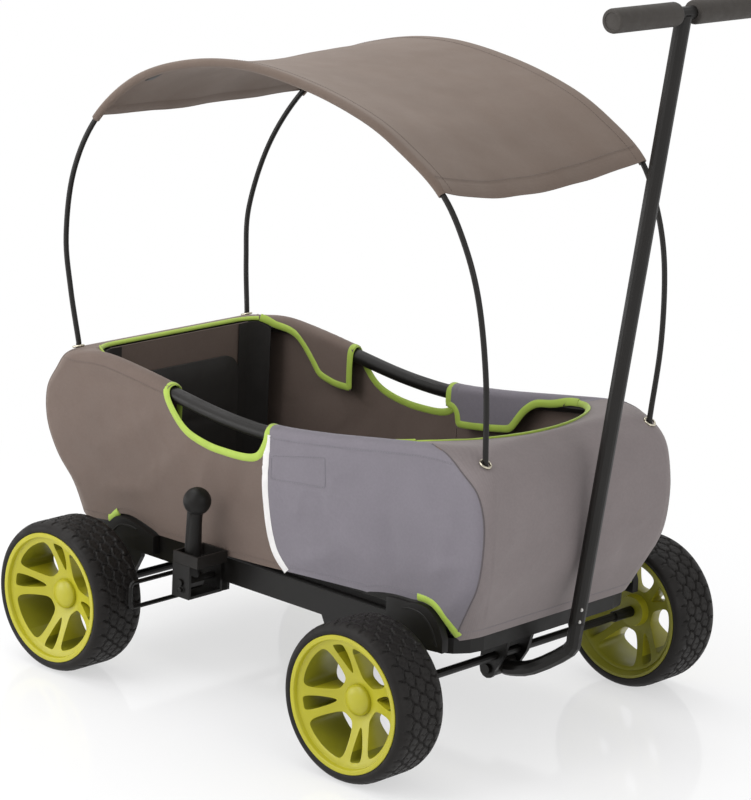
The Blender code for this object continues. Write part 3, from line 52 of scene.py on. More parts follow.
SIDES = ((-1, "near"), (1, "far"))
ENDS = ((-1, "rear"), (1, "front"))

# Wheels
WHEELBASE = 0.580
TYRE_RADIUS = 0.1105
WHEEL_WIDTH = 0.086
WHEEL_OUTER_FACE = 0.340
RIM_RADIUS = 0.095
TYRE_SEAT = 0.0905
BARREL_INNER = 0.0845
HUB_RADIUS = 0.024
HUB_RECESS = 0.034
HUB_LENGTH = 0.028
DISH_DEPTH = 0.007
AXLE_BORE = 0.00645
CAP_RADIUS = 0.0218

# Rail and canopy bows
RAIL_RADIUS = 0.010
RAIL_HALF_WIDTH = 0.1915
RIM_ABOVE_RAIL = 0.0155
BOW_RADIUS = 0.004
POLE_Y = 0.176
REAR_POLE_X = -0.417
FRONT_POLE_X = 0.376
REAR_POLE_FOOT = 0.285
FRONT_POLE_FOOT = 0.292
BOW_POINTS = (
    (-0.417, 0.176, 0.440), (-0.430, 0.183, 0.520), (-0.435, 0.190, 0.600), (-0.409, 0.202, 0.701),
    (-0.354, 0.211, 0.788), (-0.274, 0.212, 0.854), (-0.175, 0.212, 0.890), (-0.060, 0.212, 0.904),
    (0.061, 0.212, 0.892), (0.166, 0.212, 0.866), (0.236, 0.212, 0.834), (0.302, 0.210, 0.790),
    (0.340, 0.204, 0.731), (0.366, 0.197, 0.655), (0.378, 0.187, 0.549), (0.376, 0.176, 0.440),
)

# Cloth: its thickness, the stripe as (height, x), and heights along x of the rim, of the lower hem, of the
# hem over the housings, of the inner flaps and of the hand opening
CLOTH = 0.0015
SEAM_GAP = 0.0005
STRIPE = ((0.190, 0.048), (0.204, 0.043), (0.239, 0.022), (0.286, 0.006), (0.328, 0.001), (0.405, 0.003))
RIM_HEIGHTS = (
    (-0.395, 0.437), (-0.337, 0.442), (-0.262, 0.435), (-0.204, 0.427), (-0.100, 0.413),
    (-0.002, 0.409), (0.097, 0.418), (0.208, 0.434), (0.285, 0.445), (0.335, 0.447), (0.370, 0.444),
)
HEM_HEIGHTS = (
    (-0.397, 0.1870), (-0.300, 0.1965), (-0.100, 0.200), (0.000, 0.2045), (0.090, 0.2105), (0.190, 0.2165),
    (0.250, 0.2170), (0.330, 0.194), (0.351, 0.182), (0.362, 0.184),
)
REAR_NOTCH = (
    (-0.314, 0.1850), (-0.310, 0.1910), (-0.302, 0.2010), (-0.294, 0.2085), (-0.286, 0.2125),
    (-0.265, 0.2140), (-0.237, 0.2085), (-0.209, 0.2000),
)
FRONT_NOTCH = (
    (0.205, 0.2185), (0.235, 0.2250), (0.262, 0.2280), (0.286, 0.2285), (0.300, 0.2305), (0.318, 0.2290),
    (0.331, 0.2215), (0.341, 0.2100), (0.348, 0.1950), (0.3525, 0.1820),
)
# Stretches of x in which the edge over a housing is bound in lime
BOUND = ((-0.316, -0.288), (0.291, 0.352))
FLAP_HEIGHTS = (
    (-0.345, 0.424), (-0.322, 0.421), (-0.305, 0.412), (-0.278, 0.386), (-0.264, 0.369), (-0.247, 0.363),
    (-0.194, 0.358), (0.000, 0.375), (0.012, 0.356), (0.030, 0.349), (0.115, 0.361), (0.130, 0.370),
    (0.146, 0.392), (0.160, 0.405), (0.180, 0.414), (0.213, 0.424), (0.250, 0.430), (0.300, 0.440),
)
OPENING = (
    (-0.198, 0.421), (-0.193, 0.408), (-0.180, 0.391), (-0.161, 0.374), (-0.140, 0.365), (-0.110, 0.359),
    (-0.080, 0.357), (-0.040, 0.358), (-0.018, 0.363), (-0.008, 0.373), (-0.004, 0.385),
)
# Outer skin of the tub from hem to flap: rear x, front x, half width, plan corner radius at the rear,
# length and width of the corner at the front, height (from the ground, below the rim where it isn't
# above 0, or the name of the line it follows), share of the front corner at which its seam lies, and how
# far the cloth drops towards the front
LEVELS = (
    (-0.400, 0.3645, 0.2015, 0.055, 0.055, 0.055, "hem", 0.50, 0.0),
    (-0.411, 0.386, 0.2035, 0.035, 0.035, 0.035, 0.234, 0.50, 0.0),
    (-0.438, 0.401, 0.2045, 0.022, 0.024, 0.024, 0.272, 0.50, 0.0),
    (-0.458, 0.4065, 0.2045, 0.014, 0.018, 0.018, 0.318, 0.50, 0.0),
    (-0.463, 0.4065, 0.2045, 0.018, 0.020, 0.020, 0.366, 0.46, 0.003),
    (-0.449, 0.402, 0.2045, 0.028, 0.026, 0.026, -0.036, 0.30, 0.009),
    (-0.433, 0.391, 0.2045, 0.030, 0.034, 0.032, -0.013, 0.12, 0.011),
    (-0.418, 0.376, 0.2007, 0.036, 0.050, 0.040, -0.0035, 0.06, 0.007),
    (-0.404, 0.354, 0.1915, 0.047, 0.066, 0.060, 0.0, 0.04, 0.0),
    (-0.397, 0.341, 0.1823, 0.050, 0.100, 0.160, "lip", 0.30, 0.0),
    (-0.3935, 0.335, 0.1785, 0.051, 0.113, 0.178, "inside", 0.34, 0.0),
    (-0.3928, 0.334, 0.1785, 0.050, 0.115, 0.178, "flap", 0.34, 0.0),
)
# Stretches of x over which the front drop, the raised front deck and the high rear edge come in
FRONT_RUN = (0.300, 0.370)
DECK_RUN = (0.190, 0.260)
DECK_LIFT = 0.011
REAR_RUN = (-0.352, -0.384)

# Trims, and the moulded covers over the corners of the base
BINDING_DEPTH = 0.0058
BINDING_THICKNESS = 0.0021
THREAD_GAP = 0.05
HEM_THREAD_RISE = 0.009
CASING_THREAD_DROP = 0.016
STITCH = 0.0036
STITCH_GAP = 0.0012
THREAD_RADIUS = 0.00042
TAPE_HALF_WIDTH = 0.0058
HOUSING_OUTER = 0.212
HOUSING_INNER = 0.186
HOUSING_FOOT = 0.170
BASE_TOP = 0.1983
BASE_HALF_WIDTH = 0.1998


def linear(colour):
    """Linear RGBA of an sRGB hex colour."""
    parts = [int(colour[k:k + 2], 16) / 255 for k in (1, 3, 5)]
    return [c / 12.92 if c <= 0.04045 else ((c + 0.055) / 1.055) ** 2.4 for c in parts] + [1.0]


def add_node(tree, kind, settings=None, **inputs):
    """A node of that kind, with settings, and sockets given by name as values or as links."""
    node = tree.nodes.new("ShaderNode" + kind)
    for key, value in (settings or {}).items():
        setattr(node, key, value)
    for key, value in inputs.items():
        name = key.replace("_", " ")
        socket = node.inputs[int(key[1:])] if key[1:].isdigit() else node.inputs[name]
        if isinstance(value, bpy.types.NodeSocket):
            tree.links.new(value, socket)
        else:
            socket.default_value = value
    return node


def new_material(name):
    """An empty node material, its tree, and the object coordinates to draw its patterns on."""
    material = bpy.data.materials.new(name)
    material.use_nodes = True
    tree = material.node_tree
    tree.nodes.clear()
    return material, tree, add_node(tree, "TexCoord").outputs["Object"]


def close(tree, shader):
    """Links the shader to a new output."""
    output = add_node(tree, "OutputMaterial")
    tree.links.new(shader.outputs[0], output.inputs["Surface"])


def finish(material, tree, **sockets):
    """Closes the material with a principled shader."""
    close(tree, add_node(tree, "BsdfPrincipled", **sockets))
    return material


def raised(tree, height, strength, distance, **sockets):
    """The normal of a surface that the height raises."""
    bump = add_node(tree, "Bump", Strength=strength, Distance=distance, Height=height, **sockets)
    return bump.outputs["Normal"]


def combined(tree, operation, one, two):
    """Two values put together by a Math node."""
    return add_node(tree, "Math", {"operation": operation}, _0=one, _1=two).outputs[0]


def mottled(tree, coordinates, scale, low, high, detail=3.0):
    """A noise read between two values."""
    pattern = add_node(tree, "TexNoise", Vector=coordinates, Scale=scale, Detail=detail)
    spread = add_node(tree, "MapRange", Value=pattern.outputs["Fac"], From_Min=0.3, From_Max=0.7,
                      To_Min=low, To_Max=high)
    return spread.outputs["Result"]


def tinted(tree, colour, factor):
    """The colour, made darker and lighter by the factor, which runs round 1."""
    shade = add_node(tree, "MixRGB", {"blend_type": "MULTIPLY"}, Fac=1.0, Color1=linear(colour),
                     Color2=factor)
    return shade.outputs["Color"]


def woven_cloth(name, colour, sheen_tint):
    """Coated polyester canvas: a plain weave of flat matt yarns, faint in sheen and uneven in dye."""
    material, tree, solid = new_material(name)
    place = add_node(tree, "TexCoord").outputs["UV"]
    # Yarns are 0.6 mm apart, drawn at 1.6 mm, the finest that the render shows
    yarn = 2 * pi / 0.0016 / 20
    warp, weft = [
        add_node(tree, "TexWave", {"bands_direction": way}, Vector=place, Scale=yarn, Distortion=0.6,
                 Detail=2.0, Detail_Scale=1.5).outputs["Fac"]
        for way in "XY"
    ]
    weave = combined(tree, "MULTIPLY", warp, weft)
    thread = add_node(tree, "MapRange", Value=weave, To_Min=0.93, To_Max=1.04)
    dye = mottled(tree, solid, 9.0, 0.95, 1.04)
    fleck = mottled(tree, solid, 260.0, 0.96, 1.03, 2.0)
    tone = combined(tree, "MULTIPLY", combined(tree, "MULTIPLY", thread.outputs[0], dye), fleck)
    # The crumpled hand of the cloth, 15 mm soft puckers under 1.6 mm weave
    pucker = add_node(tree, "TexNoise", Vector=solid, Scale=55.0, Detail=2.0)
    soft = raised(tree, pucker.outputs["Fac"], 0.12, 0.0016)
    return finish(material, tree, Base_Color=tinted(tree, colour, tone),
                  Roughness=mottled(tree, solid, 30.0, 0.74, 0.86),
                  Normal=raised(tree, weave, 0.22, 0.0003, Normal=soft), Sheen_Weight=0.25,
                  Sheen_Roughness=0.5, Sheen_Tint=linear(sheen_tint))


def tape(name, colour, rib):
    """Woven polyester tape or binding: fine ribs along the strip, a little shinier than the canvas."""
    material, tree, solid = new_material(name)
    place = add_node(tree, "TexCoord").outputs["UV"]
    ribs = add_node(tree, "TexWave", {"bands_direction": "X"}, Vector=place, Scale=2 * pi / rib / 20,
                    Distortion=0.4).outputs["Fac"]
    tone = add_node(tree, "MapRange", Value=ribs, To_Min=0.90, To_Max=1.04)
    both = combined(tree, "MULTIPLY", tone.outputs[0], mottled(tree, solid, 60.0, 0.95, 1.04))
    return finish(material, tree, Base_Color=tinted(tree, colour, both),
                  Roughness=mottled(tree, solid, 80.0, 0.55, 0.68),
                  Normal=raised(tree, ribs, 0.35, 0.0003), Sheen_Weight=0.15)


def moulded(name, colour, low_rough, high_rough, grain_mm, depth, ior=1.49):
    """Injection moulded plastic: an even colour under a fine spark grain that breaks up the gloss."""
    material, tree, solid = new_material(name)
    grain = add_node(tree, "TexNoise", Vector=solid, Scale=1.0 / (grain_mm * 0.001), Detail=3.0)
    return finish(material, tree, Base_Color=tinted(tree, colour, mottled(tree, solid, 22.0, 0.95, 1.04)),
                  Roughness=mottled(tree, solid, 45.0, low_rough, high_rough), IOR=ior,
                  Normal=raised(tree, grain.outputs["Fac"], 0.25, depth))


def powder_coat(name, colour, low_rough, high_rough):
    """Powder coated steel: a low orange peel over black, with a soft long highlight on tubes."""
    material, tree, solid = new_material(name)
    # Orange peel cells are about 1.5 mm across
    peel = add_node(tree, "TexNoise", Vector=solid, Scale=650.0, Detail=1.0)
    return finish(material, tree, Base_Color=tinted(tree, colour, mottled(tree, solid, 14.0, 0.90, 1.10)),
                  Roughness=mottled(tree, solid, 30.0, low_rough, high_rough), IOR=1.36,
                  Normal=raised(tree, peel.outputs["Fac"], 0.15, 0.0003))


def plated(name, colour, roughness):
    """Bright plated steel: clear metal with faint streaks and a dulled bloom."""
    material, tree, solid = new_material(name)
    return finish(material, tree, Base_Color=tinted(tree, colour, mottled(tree, solid, 40.0, 0.88, 1.06)),
                  Metallic=1.0, Roughness=mottled(tree, solid, 180.0, roughness * 0.8, roughness * 1.3))


def tyre_rubber(name, colour):
    """Moulded tyre compound: charcoal, dull, with a fine grain and a lighter dusty bloom."""
    material, tree, solid = new_material(name)
    grain = add_node(tree, "TexNoise", Vector=solid, Scale=900.0, Detail=2.0)
    return finish(material, tree, Base_Color=tinted(tree, colour, mottled(tree, solid, 26.0, 0.85, 1.20)),
                  Roughness=mottled(tree, solid, 50.0, 0.48, 0.62), IOR=1.34,
                  Normal=raised(tree, grain.outputs["Fac"], 0.30, 0.0004))


def grip_foam(name, colour):
    """Closed cell foam of the hand grips: matt black with open pores on its skin."""
    material, tree, solid = new_material(name)
    pores = add_node(tree, "TexVoronoi", Vector=solid, Scale=650.0).outputs["Distance"]
    tone = add_node(tree, "MapRange", Value=pores, From_Max=0.5, To_Min=0.85, To_Max=1.15)
    return finish(material, tree, Base_Color=tinted(tree, colour, tone.outputs[0]),
                  Roughness=mottled(tree, solid, 90.0, 0.66, 0.80),
                  Normal=raised(tree, pores, 0.35, 0.0005))


TAUPE = woven_cloth("Taupe polyester canvas", "#675850", "#d8cdc4")
CANOPY_TAUPE = woven_cloth("Taupe canopy canvas", "#64554b", "#d8cdc4")
GREY = woven_cloth("Blue grey polyester canvas", "#77727a", "#dcdde4")
FRONT_GREY = woven_cloth("Warm grey polyester canvas", "#7c7373", "#dcd6d2")
LINING = woven_cloth("Black lining canvas", "#1f1c1a", "#8a8682")
LIME_BINDING = tape("Lime woven binding", "#a6c048", 0.0011)
WHITE_TAPE = tape("White reflective tape", "#e2e0df", 0.0013)
SEAM_THREAD = tape("Taupe bonded thread", "#60524a", 0.0008)
GREY_THREAD = tape("Grey bonded thread", "#7c7980", 0.0008)
# Dark grey of the seam ridges on the grey panels: painted shade in the seam's groove
SEAM_FOLD = tape("Shaded seam fold", "#575052", 0.0008)
LIME_PLASTIC = moulded("Lime moulded polypropylene", "#b1ab24", 0.30, 0.42, 1.4, 0.00010)
# A darker copy of the lime plastic: painted shade on the wheel's barrel and on the faces behind its spokes
LIME_PLASTIC_PAINTED_SHADE = moulded("Lime moulded barrel, painted shade", "#817f1b", 0.38, 0.50, 1.4, 0.00010)
BLACK_PLASTIC = moulded("Black moulded nylon", "#0f0d0b", 0.42, 0.56, 1.1, 0.00025, 1.33)
GREY_PLASTIC = moulded("Dark grey moulded nylon", "#171411", 0.48, 0.60, 1.1, 0.00025, 1.36)
BLACK_PAINT = powder_coat("Black powder coat", "#0d0b09", 0.34, 0.48)
TUBE_PAINT = powder_coat("Satin black tube paint", "#1a1816", 0.36, 0.46)
ZINC = plated("Bright zinc plate", "#c9c8c4", 0.28)
BRASS = plated("Pale nickel eyelet", "#d0c9b6", 0.24)
RUBBER = tyre_rubber("Charcoal tyre rubber", "#161311")
FOAM = grip_foam("Black grip foam", "#37332f")


def deselect():
    """Leaves nothing selected."""
    if bpy.context.object is not None and bpy.context.object.mode != "OBJECT":
        bpy.ops.object.mode_set(mode="OBJECT")
    bpy.ops.object.select_all(action="DESELECT")


def pick(obj):
    """Makes that object the only selected one."""
    deselect()
    obj.select_set(True)
    bpy.context.view_layer.objects.active = obj


def apply_modifiers(obj):
    """Applies every modifier in order."""
    pick(obj)
    for name in [m.name for m in obj.modifiers]:
        bpy.ops.object.modifier_apply(modifier=name)


def settle(obj, material, body, smooth=40.0):
    """Bakes the piece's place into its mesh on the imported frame, and gives it finish, shading and body."""
    pick(obj)
    if obj.type != "MESH":
        bpy.ops.object.convert(target="MESH")
    apply_modifiers(obj)
    obj.data = obj.data.copy() if obj.data.users > 1 else obj.data
    bpy.ops.object.transform_apply(location=True, rotation=True, scale=True)
    obj.data.transform(Matrix.Translation((ORIGIN_X, 0.0, 0.0)))
    if not isinstance(material, tuple):
        obj.data.materials.clear()
        obj.data.materials.append(material)
    bpy.ops.object.shade_smooth_by_angle(angle=radians(smooth))
    apply_modifiers(obj)
    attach(obj, body)
    return obj


def round_edges(piece, width, segments, angle=30.0):
    """A moulded radius on every edge sharper than the angle."""
    soft = piece.modifiers.new("Edges", "BEVEL")
    soft.width = width
    soft.segments = segments
    soft.limit_method = "ANGLE"
    soft.angle_limit = radians(angle)


def thicken(piece, thickness, offset):
    """Gives a single layer of cloth its thickness."""
    layer = piece.modifiers.new("Cloth", "SOLIDIFY")
    layer.thickness = thickness
    layer.offset = offset
    return layer


def folds_with_tub(piece):
    """Gives the piece its own copy of its mesh."""
    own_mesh(piece)


def between(table, x):
    """Value at x on a line through (x, value) pairs, level past its ends."""
    if x <= table[0][0]:
        return table[0][1]
    for (x0, v0), (x1, v1) in zip(table, table[1:]):
        if x <= x1:
            return v0 + (v1 - v0) * (x - x0) / (x1 - x0)
    return table[-1][1]


def curve_through(points, steps):
    """Points along a smooth curve from the second point to the last but one, through those between."""
    path = []
    for before, here, there, after in zip(points, points[1:], points[2:], points[3:]):
        for k in range(steps):
            t = k / steps
            bend = 2 * before - 5 * here + 4 * there - after
            twist = 3 * here - before - 3 * there + after
            path.append((2 * here + (there - before) * t + bend * t * t + twist * t ** 3) / 2)
    return path


def smooth_path(points, steps):
    """An open curve through the given points."""
    points = [Vector(p) for p in points]
    ends = [2 * points[0] - points[1], *points, 2 * points[-1] - points[-2]]
    return [*curve_through(ends, steps), points[-1]]


def arc_lengths(points):
    """Running length along a row of points."""
    run = [0.0]
    for a, b in zip(points, points[1:]):
        run.append(run[-1] + (b - a).length)
    return run


def heading(path, k):
    """Direction of the path at its point k."""
    return (path[min(k + 1, len(path) - 1)] - path[max(k - 1, 0)]).normalized()


def resample(points, start, end, count):
    """Evenly spaced points between two running lengths."""
    run = arc_lengths(points)
    result = []
    k = 0
    for number in range(count):
        want = start + (end - start) * number / (count - 1)
        while k < len(points) - 2 and run[k + 1] < want:
            k = k + 1
        span = max(run[k + 1] - run[k], 1e-9)
        share = min(max((want - run[k]) / span, 0.0), 1.0)
        result.append(points[k].lerp(points[k + 1], share))
    return result


def mesh_piece(name, bm):
    """An object from a bmesh."""
    mesh = bpy.data.meshes.new(name)
    bm.to_mesh(mesh)
    bm.free()
    obj = bpy.data.objects.new(name, mesh)
    bpy.context.scene.collection.objects.link(obj)
    return obj


def layer_piece(name, columns, place_on_cut=None):
    """A single layer over columns of points, with UVs in metres where the cut is given, and its area."""
    bm = bmesh.new()
    uv = bm.loops.layers.uv.new("cut") if place_on_cut else None
    made = [[bm.verts.new(p) for p in points] for points in columns]
    for k, (left, right) in enumerate(zip(made, made[1:])):
        for row in range(min(len(left), len(right)) - 1):
            face = bm.faces.new((left[row], right[row], right[row + 1], left[row + 1]))
            if place_on_cut:
                spots = ((k, row), (k + 1, row), (k + 1, row + 1), (k, row + 1))
                for loop, spot in zip(face.loops, spots):
                    loop[uv].uv = place_on_cut(*spot)
    area = sum(f.calc_area() for f in bm.faces)
    return mesh_piece(name, bm), area


# The tub: panels cut from one skin, each a grid of columns from the hem over the rail to the flap. A fold
# is two ends as (x or y, height), its width and its rise
COLUMN_STEP = 0.0042
OUTER_ROWS = 44
OVER_ROWS = 24
FOLD_STRENGTH = 1.9
SIDE_START = -0.355
SIDE_SPLIT = 0.003
SIDE_END = 0.313
FOLDS = (
    (-0.200, 0.385, -0.330, 0.300, 0.020, 0.0013), (-0.150, 0.352, -0.235, 0.262, 0.016, 0.0012),
    (-0.030, 0.350, -0.070, 0.250, 0.014, -0.0010), (-0.110, 0.352, -0.125, 0.262, 0.013, 0.0011),
    (-0.320, 0.245, -0.220, 0.262, 0.012, 0.0014), (-0.410, 0.300, -0.330, 0.265, 0.016, -0.0011),
    (0.060, 0.225, 0.160, 0.262, 0.014, 0.0013), (0.235, 0.245, 0.130, 0.300, 0.018, 0.0016),
    (0.262, 0.250, 0.225, 0.345, 0.014, -0.0013), (0.330, 0.262, 0.345, 0.360, 0.013, 0.0010),
    (0.300, 0.268, 0.372, 0.300, 0.011, 0.0012), (0.050, 0.398, 0.250, 0.420, 0.009, -0.0009),
    (0.020, 0.300, 0.120, 0.315, 0.020, 0.0008), (-0.380, 0.400, -0.240, 0.410, 0.011, -0.0009),
)
END_FOLDS = (
    (-0.17, 0.215, -0.10, 0.300, 0.018, 0.0014), (-0.02, 0.215, 0.02, 0.330, 0.024, 0.0012),
    (0.13, 0.215, 0.09, 0.310, 0.016, -0.0012), (-0.14, 0.400, -0.04, 0.372, 0.016, 0.0011),
    (0.12, 0.404, 0.03, 0.372, 0.015, -0.0009), (-0.18, 0.300, -0.12, 0.360, 0.018, 0.0010),
)


def eased(table):
    """The same table with a smooth curve through its points."""
    return tuple((p.x, p.z) for p in smooth_path([(x, 0.0, z) for x, z in table], 5))


RIM_CURVE = eased(RIM_HEIGHTS)
FLAP_CURVE = eased(FLAP_HEIGHTS)
OPENING_CURVE = eased(OPENING)
REAR_CURVE = eased(REAR_NOTCH)
FRONT_CURVE = eased(FRONT_NOTCH)


def notch_height(x):
    """Lower edge of the cloth over a corner housing, or nothing away from one."""
    for table in (REAR_CURVE, FRONT_CURVE):
        if table[0][0] < x < table[-1][0]:
            return between(table, x)
    return 0.0


def is_bound(x):
    """Whether the cloth edge over a housing is bound in lime at x."""
    return any(rear < x < front for rear, front in BOUND)


def hem_height(x):
    """Lower edge of the tub cloth."""
    return max(between(HEM_HEIGHTS, x), notch_height(x))


def ramp(value):
    """0 before 0, 1 past 1, and a smooth rise between."""
    value = min(max(value, 0.0), 1.0)
    return value * value * (3 - 2 * value)


def skin_point(level, station):
    """One point of the tub's outer surface on the near half."""
    rear, front, half_width, rear_corner, corner_x, corner_y, height, seam, drop = level
    zone, share = station
    split = STRIPE[-1][1]
    if height == "hem":
        split = STRIPE[0][1]
    elif isinstance(height, float) and height > 0:
        split = between(STRIPE, height)
    # The end panel takes over from the corner where the corner is nearly straight across
    end_angle = QUARTER - (corner_y > 0.1) * radians(42)
    y = -half_width
    if zone == "side_rear":
        drawn = SIDE_START + (SIDE_SPLIT - SIDE_START) * share
        x = drawn + (rear + rear_corner - SIDE_START) * (1 - share) ** 4
        x = x + (split - SEAM_GAP - SIDE_SPLIT) * share ** 2
    elif zone == "side_front":
        drawn = SIDE_SPLIT + (SIDE_END - SIDE_SPLIT) * share
        x = drawn + (front - corner_x - SIDE_END) * share ** 4
        x = x + (split + SEAM_GAP - SIDE_SPLIT) * (1 - share) ** 2
    elif zone == "rear_end":
        x = rear
        y = (half_width - rear_corner) * share
    elif "rear" in zone:
        slack = SEAM_GAP / rear_corner * (abs(share - 0.5) < 1e-6)
        angle = share * QUARTER + (slack if zone == "rear_turn" else -slack)
        x = rear + rear_corner - rear_corner * sin(angle)
        y = -half_width + rear_corner - rear_corner * cos(angle)
    else:
        slack = SEAM_GAP / corner_x * (abs(share - 0.5) < 1e-6)
        if zone == "front_turn_side":
            angle = seam * share * 2 * end_angle - slack
        elif zone == "front_turn":
            angle = (seam + (1 - seam) * (share * 2 - 1)) * end_angle + slack
        else:
            angle = end_angle + (QUARTER - end_angle) * (1 + share)
        straight = half_width - corner_y
        along = -share if zone == "front_end" else 1.0
        x = front - corner_x + corner_x * sin(angle)
        y = -straight * along - corner_y * cos(angle)
    rim = between(RIM_CURVE, x)
    deck = DECK_LIFT * ramp((x - DECK_RUN[0]) / (DECK_RUN[1] - DECK_RUN[0]))
    # At the rear the edge stays up on the rail instead of hanging inside it
    kept_up = ramp((x - REAR_RUN[0]) / (REAR_RUN[1] - REAR_RUN[0]))
    if height == "hem":
        z = between(HEM_HEIGHTS, x)
    elif height == "flap":
        z = min(rim - 0.017 + deck, between(FLAP_CURVE, x))
        z = z + (rim - 0.003 - z) * kept_up
    elif height == "inside":
        z = rim - 0.013 + deck * 0.8 + 0.0115 * kept_up
    elif height == "lip":
        z = rim - 0.0035 * (1 - kept_up)
    elif height > 0:
        z = height
    else:
        z = rim + height
    return x, y, z - drop * ramp((x - FRONT_RUN[0]) / (FRONT_RUN[1] - FRONT_RUN[0]))


def fold_height(folds, u, z):
    """How far the listed soft folds push the cloth out at (u, z)."""
    push = 0.0
    for u0, z0, u1, z1, width, rise in folds:
        along_u, along_z = u1 - u0, z1 - z0
        reach = along_u ** 2 + along_z ** 2
        t = ((u - u0) * along_u + (z - z0) * along_z) / reach
        off_end = max(-t, t - 1.0, 0.0) * sqrt(reach)
        t = min(max(t, 0.0), 1.0)
        off = sqrt((u - u0 - along_u * t) ** 2 + (z - z0 - along_z * t) ** 2)
        taper = sin(pi * min(max(t, 0.08), 0.92))
        push = push + rise * taper * exp(-(off / width) ** 2 - (off_end / width) ** 2)
    return push


def crumple(point, folds, u):
    """Outward push of the cloth: placed folds, a low uneven drape and scattered creases."""
    drape = noise.noise(Vector((point.x * 9.0, point.y * 9.0, point.z * 12.0))) * 0.0013
    small = noise.noise(Vector((point.x * 38.0, point.y * 38.0, point.z * 30.0))) * 0.00035
    line = abs(noise.noise(Vector((point.x * 13.0 + point.z * 9.0, point.y * 13.0, point.z * 16.0 + 4.0))))
    patch = noise.noise(Vector((point.x * 6.0 + 7.0, point.y * 6.0, point.z * 7.0)))
    crease = max(1.0 - line / 0.10, 0.0) ** 2 * ramp((patch + 0.10) / 0.35) * 0.0010
    return FOLD_STRENGTH * fold_height(folds, u, point.z) + drape + small + crease


def first_above(points, height_at, limit):
    """Running length at which a column first rises past a height that depends on x."""
    run = arc_lengths(points)
    for k in range(1, limit):
        over = points[k].z - height_at(points[k].x)
        under = height_at(points[k - 1].x) - points[k - 1].z
        if over >= 0:
            share = max(under, 0.0) / max(under + over, 1e-9)
            return run[k - 1] + (run[k] - run[k - 1]) * min(share, 1.0)
    return run[limit]


def guide_height(x):
    """The row that follows the hand opening, and levels out away from it."""
    if OPENING[0][0] <= x <= OPENING[-1][0]:
        return between(OPENING_CURVE, x)
    if x < OPENING[0][0]:
        away = min((OPENING[0][0] - x) / 0.06, 1.0)
        return OPENING[0][1] * (1 - away) + 0.405 * away
    away = min((x - OPENING[-1][0]) / 0.05, 1.0)
    return OPENING[-1][1] * (1 - away) + 0.400 * away


def column(station, mirrored, folds):
    """Rows of one column, hem first, and whether the hand opening cuts it off above the guide row."""
    coarse = [Vector(skin_point(level, station)) for level in LEVELS]
    fine = smooth_path(coarse, 7)
    crown = 8 * 7
    start = first_above(fine, hem_height, crown)
    turn = first_above(fine, guide_height, crown)
    run = arc_lengths(fine)
    zone = station[0]
    middle_x = fine[5 * 7].x
    open_top = zone == "side_rear" and OPENING[0][0] < middle_x < OPENING[-1][0]
    rows = resample(fine, start, turn, OUTER_ROWS)
    if not open_top:
        rows = rows + resample(fine, turn, run[-1], OVER_ROWS)[1:]
    moved = []
    for k, point in enumerate(rows):
        ease = min(k / 3.0, 1.0) * (1.0 if k < OUTER_ROWS + 2 else 0.35)
        if "end" in zone:
            outward = Vector((-1.0 if "rear" in zone else 1.0, 0.0, 0.0))
            push = crumple(point, END_FOLDS, point.y * (-1.0 if mirrored else 1.0))
        elif "turn" in zone:
            outward = Vector((-1.0 if "rear" in zone else 1.0, -1.0, 0.0)).normalized()
            push = crumple(point, folds, point.x) * 0.5
        else:
            outward = Vector((0.0, -1.0, 0.0))
            push = crumple(point, folds, point.x)
        if k > OUTER_ROWS + 8:
            outward = -outward
        moved.append(point + outward * push * ease)
    if mirrored:
        moved = [Vector((p.x, -p.y, p.z)) for p in moved]
    return moved, open_top


def spread_shares(first, last, reach, extra=()):
    """Shares from first to last about one column step apart over that reach, with extra ones put in."""
    count = max(int(round(reach / COLUMN_STEP)), 2)
    shares = [first + (last - first) * k / count for k in range(count + 1)]
    for value in extra:
        nearest = min(range(1, len(shares) - 1), key=lambda k: abs(shares[k] - value))
        shares[nearest] = value
    return shares


def share_at(x):
    """Share of the rear side zone at which its columns stand at x near the rim."""
    return (x - SIDE_START) / (SIDE_SPLIT - SIDE_START)


def panel_mesh(name, columns):
    """A tub panel from columns of unequal length, the size of its flat cut, and its area."""
    columns = [points for points, _ in columns]
    across = arc_lengths([points[min(len(points) - 1, OUTER_ROWS // 2)] for points in columns])
    up = [arc_lengths(points) for points in columns]
    panel, area = layer_piece(name, columns, lambda c, r: (across[c], up[c][r]))
    middle_of_tub = Vector((0.0, 0.0, 0.3))
    facing = sum((Vector(f.center) - middle_of_tub).dot(f.normal) * f.area for f in panel.data.polygons)
    if facing < 0:
        panel.data.flip_normals()
    return panel, (across[-1], max(u[-1] for u in up)), area


def as_cloth(panel, looks, replaced):
    for look in looks:
        panel.data.materials.append(look)
    thicken(panel, CLOTH, -1.0).material_offset = len(looks) - 1
    settle(panel, looks, "chassis", 60.0)
    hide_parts(replaced)
    folds_with_tub(panel)


def strip(name, path, normals, half_width, half_height, steps=8):
    """A flattened cord swept along a path: half_width across the cloth, half_height along its normal."""
    bm = bmesh.new()
    uv = bm.loops.layers.uv.new("cut")
    run = arc_lengths(path)
    rings = []
    for k, point in enumerate(path):
        along = heading(path, k)
        up = (normals[k] - along * normals[k].dot(along)).normalized()
        out = along.cross(up)
        ring = []
        for j in range(steps):
            angle = 2 * pi * j / steps
            across, outward = half_width * cos(angle), half_height * sin(angle)
            ring.append(bm.verts.new(point + out * across + up * outward))
        rings.append(ring)
    for k, (one, two) in enumerate(zip(rings, rings[1:])):
        for j in range(steps):
            following = (j + 1) % steps
            face = bm.faces.new((one[j], one[following], two[following], two[j]))
            ends = ((k, j), (k, j + 1), (k + 1, j + 1), (k + 1, j))
            for loop, (c, r) in zip(face.loops, ends):
                loop[uv].uv = (run[c], r * half_width / 2)
    bm.faces.new(rings[0][::-1])
    bm.faces.new(rings[-1])
    bmesh.ops.recalc_face_normals(bm, faces=bm.faces)
    return mesh_piece(name, bm)


